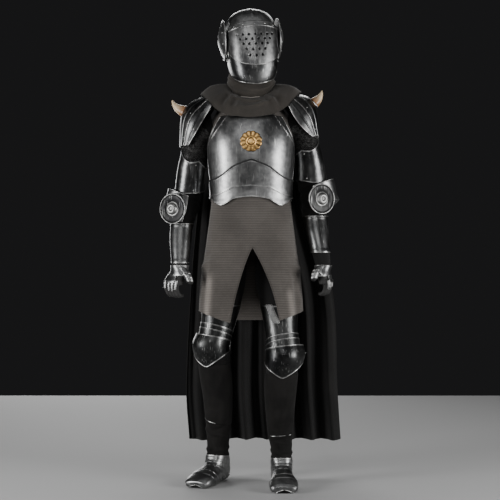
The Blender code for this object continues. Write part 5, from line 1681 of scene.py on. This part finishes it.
# Horns: step, out_x, height, radius.
HORN = {
    "right": (
        (0.0, 0.2641, 1.4894, 0.0240),
        (0.4, 0.2880, 1.5020, 0.0165),
        (0.8, 0.3050, 1.5200, 0.0080),
        (1.0, 0.3110, 1.5340, 0.0020),
    ),
    "left": (
        (0.0, 0.2575, 1.5235, 0.0220),
        (0.4, 0.2730, 1.5390, 0.0160),
        (0.8, 0.2840, 1.5580, 0.0080),
        (1.0, 0.2870, 1.5720, 0.0020),
    ),
}


def horn_ivory():
    """Polished horn, brown at the root and pale at the tip, with growth rings and long fibres."""
    finish = Finish("horn_ivory", Coat_Weight=0.25, Coat_Roughness=0.2)
    across, along = finish.surface()
    fibre = finish.noise(120.0, 4.0, 0.6, (1.0, 1.0, 0.4))
    ring = (along / 0.0042 + fibre * 0.6).wave()
    pale = (along + fibre * 0.010).band(0.004, 0.046)
    base = pale.blend((0.23, 0.10, 0.034), (0.58, 0.45, 0.29))
    base = (ring * 0.16 * (1 - pale * 0.6)).blend(base, (0.12, 0.055, 0.02))
    finish.feed(Base_Color=base, Roughness=0.30 + 0.22 * fibre)
    finish.bump(ring * 0.5 + fibre * 0.5, 0.0007, 0.5)
    return finish.material


def pauldron(side, step, angle, out=0.0):
    """Point on a shoulder guard, angle 0 on its ridge and 90 on its front border."""
    ridge_out, ridge_height, edge_out, edge_height, depth = blend(PAULDRON[side], step)
    rise, ahead = math.cos(math.radians(angle)), math.sin(math.radians(angle))
    across, up = ridge_out - edge_out, ridge_height - edge_height
    grow = 1 + out / math.hypot(across, up)
    return Vector(
        (
            SIDES[side] * (edge_out + across * grow * rise),
            -(depth + out) * ahead,
            edge_height + up * grow * rise,
        )
    )


HORN_IVORY = horn_ivory()
# Side lames: place, angles covered, rims.
SIDE_LAMES = (
    ("front", spread(-90, -45, 44), "low high start"),
    ("back", spread(45, 90, 44), "low high end"),
)
for side, sign in SIDES.items():
    mirrored = sign < 0

    def cap(angle, v):
        ridge = 0.0026 * hump(abs(angle), 40.0, 1.6)
        return pauldron(side, 1 - v, -angle, PLATE + 3 * LAP + ridge)

    def side_lame(angle, v):
        ridge = 0.0022 * hump(abs(angle), 76.0, 1.4)
        return pauldron(side, 1 - v, -angle, ridge)

    rows = spread(0, 1, 56)
    names = "pauldron_crown_" + side, "pauldron_cap_" + side
    span = spread(-60, 60, 96)
    plate(*names, cap, span, rows, "low high start end", 0.0015, mirrored, metal=SHADED_STEEL)
    for place, span, rims in SIDE_LAMES:
        names = "pauldron_lame_" + place + "_" + side, "pauldron_" + place + "_" + side
        plate(*names, side_lame, span, rows, rims, 0.0017, mirrored, metal=SHADED_STEEL)

    def horn(angle, step):
        out_x, height, radius = blend(HORN[side], step)
        ahead = blend(HORN[side], min(1.0, step + 0.05))
        behind = blend(HORN[side], max(0.0, step - 0.05))
        run = Vector((ahead[0] - behind[0], 0, ahead[1] - behind[1])).normalized()
        sine, cosine = oval(angle, 2.0)
        radius *= 1 + 0.012 * math.sin(step * 46)
        offset = Vector((run.z, 0, -run.x)) * radius * sine + Vector((0, -radius * cosine, 0))
        return Vector((sign * (out_x + offset.x), offset.y, height + offset.z))

    tusk = closed_tube("horn_tip_" + side, horn, spread(0, 1, 40), 40, mirrored)
    tusk.data.materials.append(HORN_IVORY)
    tusk.data.shade_smooth()
    fit(tusk, "horn", "horn_" + side)
    spots = [spot_on(cap, a, v, 1, 0.01, mirrored) for a in (-52, 52) for v in (0.10, 0.45, 0.90)]
    spots += [spot_on(side_lame, a, v, 1, 0.01, mirrored) for a in (-80, 80) for v in (0.06, 0.30)]
    rivets("pauldron_rivets_" + side, spots)


# Mantle and collar: knitted like the tunic but darker. The mantle lies over the shoulders and the pauldrons'
# neck ends; the collar stands on its neck seam, which is whipped over in front with pale yarn.
# Cut round the neck: angle, neck_height, edge_out, edge_forward, edge_height.
MANTLE = (
    (0.0, 1.533, 0.000, 0.1420, 1.453),
    (28.0, 1.541, 0.086, 0.1330, 1.461),
    (50.0, 1.560, 0.137, 0.1230, 1.487),
    (66.0, 1.580, 0.163, 0.1040, 1.517),
    (84.0, 1.597, 0.197, 0.0300, 1.554),
    (98.0, 1.598, 0.197, -0.0250, 1.554),
    (122.0, 1.597, 0.160, -0.1050, 1.520),
    (150.0, 1.596, 0.086, -0.1400, 1.475),
    (180.0, 1.595, 0.000, -0.1480, 1.455),
)
# Creases here run by share from the neck seam (0) to the edge (1) instead of by height.
MANTLE_CREASES = (
    (-18.0, 0.62, 5.0, 0.0040, 0.45, 0.0070),
    (-36.0, 0.52, 4.5, 0.0060, 0.45, 0.0090),
    (-56.0, 0.60, 5.5, 0.0060, 0.40, 0.0070),
    (-14.0, 0.24, 34.0, 0.0020, 0.07, 0.0080),
    (10.0, 0.52, 28.0, -0.0040, 0.08, 0.0060),
    (19.0, 0.60, 5.0, -0.0040, 0.40, 0.0060),
    (35.0, 0.55, 4.5, -0.0060, 0.45, 0.0092),
    (54.0, 0.58, 5.5, -0.0060, 0.40, 0.0072),
    (-84.0, 0.45, 6.0, 0.0050, 0.40, 0.0060),
    (78.0, 0.50, 6.0, -0.0050, 0.40, 0.0066),
    (125.0, 0.50, 6.0, 0.0050, 0.40, 0.0076),
    (152.0, 0.55, 5.0, 0.0050, 0.45, 0.0068),
    (178.0, 0.30, 28.0, 0.0020, 0.08, 0.0070),
    (-153.0, 0.55, 6.0, -0.0050, 0.45, 0.0076),
    (-124.0, 0.50, 5.0, -0.0050, 0.40, 0.0070),
)
COLLAR_CREASES = (
    (-34.0, 0.26, 36.0, 0.0030, 0.09, 0.0056),
    (24.0, 0.50, 32.0, -0.0040, 0.09, 0.0060),
    (-66.0, 0.66, 36.0, 0.0030, 0.09, 0.0048),
    (74.0, 0.20, 32.0, 0.0030, 0.09, 0.0050),
    (150.0, 0.38, 44.0, -0.0030, 0.09, 0.0056),
    (-150.0, 0.64, 44.0, 0.0030, 0.09, 0.0050),
)
MANTLE_ROWS, COLLAR_ROWS = 52, 26
NECK_HALF_WIDTH, NECK_DEPTH = 0.0975, 0.092
# Collar at its seam and at its top: half width, depth.
COLLAR_SEAM, COLLAR_RIM = (0.0967, 0.0912), (0.0873, 0.080)
COLLAR_BACK, COLLAR_FRONT = 1.642, 1.592
MANTLE_KNIT = knit("mantle_knit", (0.024, 0.021, 0.0175), (0.060, 0.052, 0.044))


def mantle(angle, share, out=0.0):
    """Point on the mantle, share 0 at the neck seam and 1 at its lower edge."""
    angle = (angle + 180) % 360 - 180
    neck_height, edge_out, edge_forward, edge_height = blend(MANTLE, abs(angle))
    side = -1 if angle < 0 else 1
    sine, cosine = oval(abs(angle), 2.0)
    neck = Vector((NECK_HALF_WIDTH * sine, -NECK_DEPTH * cosine, neck_height))
    edge = Vector((edge_out, -edge_forward, edge_height))
    if side > 0:
        edge.z += 0.010 * sine
    middle = (neck + edge) / 2 + Vector((0.020 * sine, -0.022 * cosine, 0.016))
    point = neck * (1 - share) ** 2 + middle * 2 * share * (1 - share) + edge * share**2
    point += Vector((sine, -cosine, 1.2)).normalized() * out
    return Vector((TRUNK_X + side * point.x, point.y, point.z))


def collar(angle, share, out=0.0):
    """Point on the standing collar, share 0 at the mantle's seam and 1 at its top."""
    angle = (angle + 180) % 360 - 180
    sine, cosine = oval(angle, 2.0)
    neck_height = blend(MANTLE, abs(angle))[0]
    top = mix(COLLAR_BACK, COLLAR_FRONT, max(0.0, cosine) ** 2)
    half_width, depth = (mix(low, high, share) + out for low, high in zip(COLLAR_SEAM, COLLAR_RIM))
    height = mix(neck_height + LAP, top, share)
    return Vector((TRUNK_X + sine * half_width, -cosine * depth, height))


def mantle_cloth(angle, row):
    share = 1 - row / MANTLE_ROWS
    return mantle(angle, share, max(0.0, creased(MANTLE_CREASES, angle, share)) - RIB_DEPTH * (row % 2))


def collar_cloth(angle, row):
    share = row / COLLAR_ROWS
    return collar(angle, share, creased(COLLAR_CREASES, angle, share) - RIB_DEPTH * (row % 2))


yoke = surface("mantle_yoke", mantle_cloth, turn_of(144), range(MANTLE_ROWS + 1), "low", closed=True)
sewn(yoke, "knit_dark", "mantle", MANTLE_KNIT, rim=0.0014)
band = surface("collar_band", collar_cloth, turn_of(120), range(COLLAR_ROWS + 1), "high", closed=True)
sewn(band, "knit_dark", "collar", MANTLE_KNIT, rim=0.0012)
PALE_CORD = knit("pale_cord", (0.42, 0.38, 0.34), (0.58, 0.54, 0.50))
beads("collar_cord", [[collar(a, 0.0, 0.0022) for a in spread(-24, 20, 24)]], 0.0014, PALE_CORD, "knit")


# Helmet: forged steel skull and chin plate with a pierced visor that turns on two domed ear discs. Their rims
# are rolled over a wire and the skull's lining rivets show as small domed heads.
HELMET_TURN = Euler((0, math.radians(-3.6), math.radians(8.0))).to_matrix().to_4x4()
HELMET_PLACE = Matrix.Translation((0.002, -0.004, 1.777)) @ HELMET_TURN
HELMET_HALF_WIDTH = 0.0965
HUB_RADIUS = 0.0248
VISOR_OUT = 0.0051
VISOR_LOW, VISOR_HIGH, BROW = -43.0, 25.0, 15.2
EAR_DISC_RADIUS = 0.0795
# Breathing holes: how many in each row from the top, angle of the top row, angle between rows, share between
# holes, and radius.
HOLE_COUNTS = (7, 6, 5, 4, 3)
HOLES_TOP, HOLE_ROW, HOLE_PITCH, HOLE_RADIUS = 0.0, 8.0, 0.155, 0.0051
# Profile in the middle plane: angle, radius. 0 is the front, 90 the crown and 180 the back.
PROFILE = (
    (-100.0, 0.2050),
    (-85.0, 0.2150),
    (-75.0, 0.2170),
    (-62.0, 0.2120),
    (-50.0, 0.1870),
    (-40.0, 0.1640),
    (-28.0, 0.1440),
    (-14.0, 0.1310),
    (0.0, 0.1250),
    (15.0, 0.1225),
    (30.0, 0.1210),
    (60.0, 0.1190),
    (90.0, 0.1170),
    (120.0, 0.1200),
    (150.0, 0.1250),
    (180.0, 0.1280),
    (205.0, 0.1340),
    (235.0, 0.1500),
    (250.0, 0.1760),
    (260.0, 0.2050),
)


def helm(angle, share, out=0.0):
    """Point on the helmet in its own frame, share -1 to 1 from ear to ear."""
    radius = blend(PROFILE, angle)[0] + out
    lune = share * math.pi / 2
    reach = radius * math.sqrt(max(0.0, math.cos(lune)))
    turn = math.radians(angle)
    across = (HELMET_HALF_WIDTH + out) * math.sin(lune)
    return Vector((across, -reach * math.cos(turn), reach * math.sin(turn)))


def skull(share, v):
    end = mix(235.0, 258.0, min(1.0, abs(share) / 0.9) ** 2)
    angle = mix(16.0, end, v)
    comb = 0.0030 * hump(share, 0.0, 0.035) * ease(30.0, 50.0, angle) * ease(225.0, 190.0, angle)
    return helm(angle, share, comb)


def visor_share(share, angle):
    radius = blend(PROFILE, angle)[0] + VISOR_OUT
    return share * math.acos((HUB_RADIUS / radius) ** 2) * 2 / math.pi


def visor(share, angle):
    keel = 0.0018 * hump(share, 0.0, 0.09) * ease(16.0, -2.0, angle)
    brow = 0.0010 * ease(13.5, 15.5, angle)
    return helm(angle, visor_share(share, angle), VISOR_OUT + keel + brow)


def bevor(share, v):
    start = mix(-62.0, -99.0, min(1.0, abs(share) / 0.9) ** 3)
    return helm(mix(start, VISOR_LOW + 7.0, v), share, PLATE + 2 * LAP + 0.0008 * hump(share, 0.0, 0.08))


def pierced(thing):
    """The visor with its breathing holes cut in staggered rows."""
    net = bmesh.new()
    for row, count in enumerate(HOLE_COUNTS):
        angle = HOLES_TOP - HOLE_ROW * row
        for k in range(count):
            share = (k - (count - 1) / 2) * HOLE_PITCH
            middle = helm(angle, share, VISOR_OUT)
            outward = helm(angle, share, 10 * VISOR_OUT) - middle
            facing = outward.to_track_quat("Z", "Y").to_matrix().to_4x4()
            place = above_ground(HELMET_PLACE) @ Matrix.Translation(middle) @ facing
            rod = {"segments": 20, "radius1": HOLE_RADIUS, "radius2": HOLE_RADIUS, "depth": 0.02}
            bmesh.ops.create_cone(net, cap_ends=True, matrix=place, **rod)
    mesh = bpy.data.meshes.new("visor_holes")
    net.to_mesh(mesh)
    net.free()
    tool = linked("visor_holes", mesh)
    step = thing.modifiers.new("Holes", "BOOLEAN")
    step.operation = "DIFFERENCE"
    step.object = tool
    step.solver = "EXACT"
    thing.data = evaluated(thing)
    thing.modifiers.clear()
    bpy.data.objects.remove(tool)
    return thing


on_head = {"place": HELMET_PLACE}
on_visor = {"place": HELMET_PLACE, "body": "visor"}
span = spread(-0.985, 0.985, 84)
plate("skull_shell", "helmet_skull", skull, span, spread(0, 1, 90), "high", rim=0.0020, **on_head)
visor_rows = [VISOR_LOW, VISOR_LOW + 1.0, *spread(VISOR_LOW + 2.4, VISOR_HIGH - 1.5, 60), VISOR_HIGH]
visor_face = surface("visor_shell", visor, spread(-1, 1, 110), visor_rows, **on_head)
fit(pierced(wall(visor_face, PLATE, STEEL)), "steel", "helmet_visor", body="visor")
names = "bevor_shell", "helmet_bevor"
span, rows = spread(-0.9, 0.9, 84), spread(0, 1, 40)
plate(*names, bevor, span, rows, "low start end", rim=0.0019, metal=SHADED_STEEL, **on_head)
lower_line = [visor(s, VISOR_LOW + 0.4) for s in spread(-0.99, 0.99, 100)]
beads("visor_rim", [lower_line], 0.0027, **on_visor)
brow_line = [helm(BROW, visor_share(s, BROW), VISOR_OUT + 0.0026) for s in spread(-0.97, 0.97, 80)]
beads("visor_brow_bead", [brow_line], 0.0017, **on_visor)
visor_spots = [spot_on(visor, s, 20.0, 0.01, 0.5) for s in (-0.55, -0.28, 0.0, 0.28, 0.55)]
rivets("visor_rivets", visor_spots, **on_visor)
skull_spots = [spot_on(skull, s, 0.93, 0.01, 0.005) for s in spread(-0.8, 0.8, 8)]
cheek_places = ((-0.80, 0.55), (-0.70, 0.16), (0.70, 0.16), (0.80, 0.55))
skull_spots += [spot_on(bevor, s, v, 0.01, 0.02) for s, v in cheek_places]
rivets("helmet_rivets", skull_spots, 0.0030, **on_head)
DISC_BASE = HELMET_HALF_WIDTH + PLATE + LAP
EAR_STUDS, STUD_CIRCLE = 8, 0.0590


def dome_height(share):
    return DISC_BASE + 0.0125 + 0.0205 * math.cos(math.pi * share / 2) ** 0.9


EAR_DOME = [
    (DISC_BASE + 0.0335, 0.0),
    (DISC_BASE + 0.0333, 0.0070),
    *[(dome_height(share), 0.07 * share) for share in spread(0.16, 0.96, 20)],
    (DISC_BASE + 0.0118, 0.0712),
    (DISC_BASE + 0.0112, 0.0728),
    *rolled((DISC_BASE + 0.0108, EAR_DISC_RADIUS - 0.0030), 0.0030, -40, 180, 12),
    (DISC_BASE + 0.0082, 0.0700),
    (DISC_BASE + 0.0080, HUB_RADIUS - 0.0010),
    (DISC_BASE + 0.0001, HUB_RADIUS - 0.0010),
    (DISC_BASE, 0.0),
]
for side, sign in SIDES.items():
    facing = Matrix.Rotation(math.radians(0 if sign > 0 else 180), 4, "Z")
    ear = turned("ear_boss_" + side, EAR_DOME, 96, HELMET_PLACE @ facing, (EAR_DISC_RADIUS, 0.0), STEEL)
    fit(ear, "steel", "ear_disc_" + side)
    studs = []
    for k in range(EAR_STUDS):
        turn = math.radians(360 / EAR_STUDS * k + 22)
        spot = Vector((DISC_BASE + 0.0200, STUD_CIRCLE * math.sin(turn), STUD_CIRCLE * math.cos(turn)))
        outward = Vector((1, 0.6 * math.sin(turn), 0.6 * math.cos(turn))).normalized()
        studs.append((facing @ spot, facing.to_3x3() @ outward))
    rivets("ear_boss_rivets_" + side, studs, 0.0026, place=HELMET_PLACE)


# Cape: one wide sheet of black wool, hemmed on three sides, that is fixed flat under the mantle and falls to
# the calves in seven soft folds, which deepen on the way down.
CAPE_LOW, CAPE_TOP = 0.150, 1.500
CAPE_FOLDS, CAPE_RIPPLES, CAPE_WRAP = 7, 23, 0.03
# Fall: height, right_edge, left_edge, y, fold_depth.
CAPE = (
    (CAPE_LOW, -0.252, 0.375, 0.215, 0.026),
    (0.350, -0.264, 0.362, 0.210, 0.024),
    (0.760, -0.245, 0.340, 0.195, 0.018),
    (1.100, -0.215, 0.240, 0.178, 0.011),
    (1.350, -0.180, 0.190, 0.158, 0.005),
    (CAPE_TOP, -0.130, 0.140, 0.1354, 0.000),
)
CAPE_CLOTH = woven("cape_cloth", (0.0030, 0.0030, 0.0032), (0.0115, 0.0110, 0.0105), 0.0009, 0.05)


def cape(share, height):
    right_edge, left_edge, y, fold = blend(CAPE, height)
    phase = math.tau * CAPE_FOLDS * share + 0.6
    wave = fold * (math.sin(phase) + 0.18 * math.sin(2 * phase + 1.0 + 2.0 * height))
    wave += 0.12 * fold * math.sin(math.tau * CAPE_RIPPLES * share + 3 * height)
    wrap = CAPE_WRAP * (2 * share - 1) ** 2
    return Vector((mix(right_edge, left_edge, share), y + wave - wrap, height))


rows = spread(CAPE_LOW, CAPE_TOP, 90)
hanging = surface("cape_sheet", cape, spread(0, 1, 220), rows, "low start end", mirrored=True)
sewn(hanging, "cape_cloth", "cape", CAPE_CLOTH, rim=HEM_BINDING)
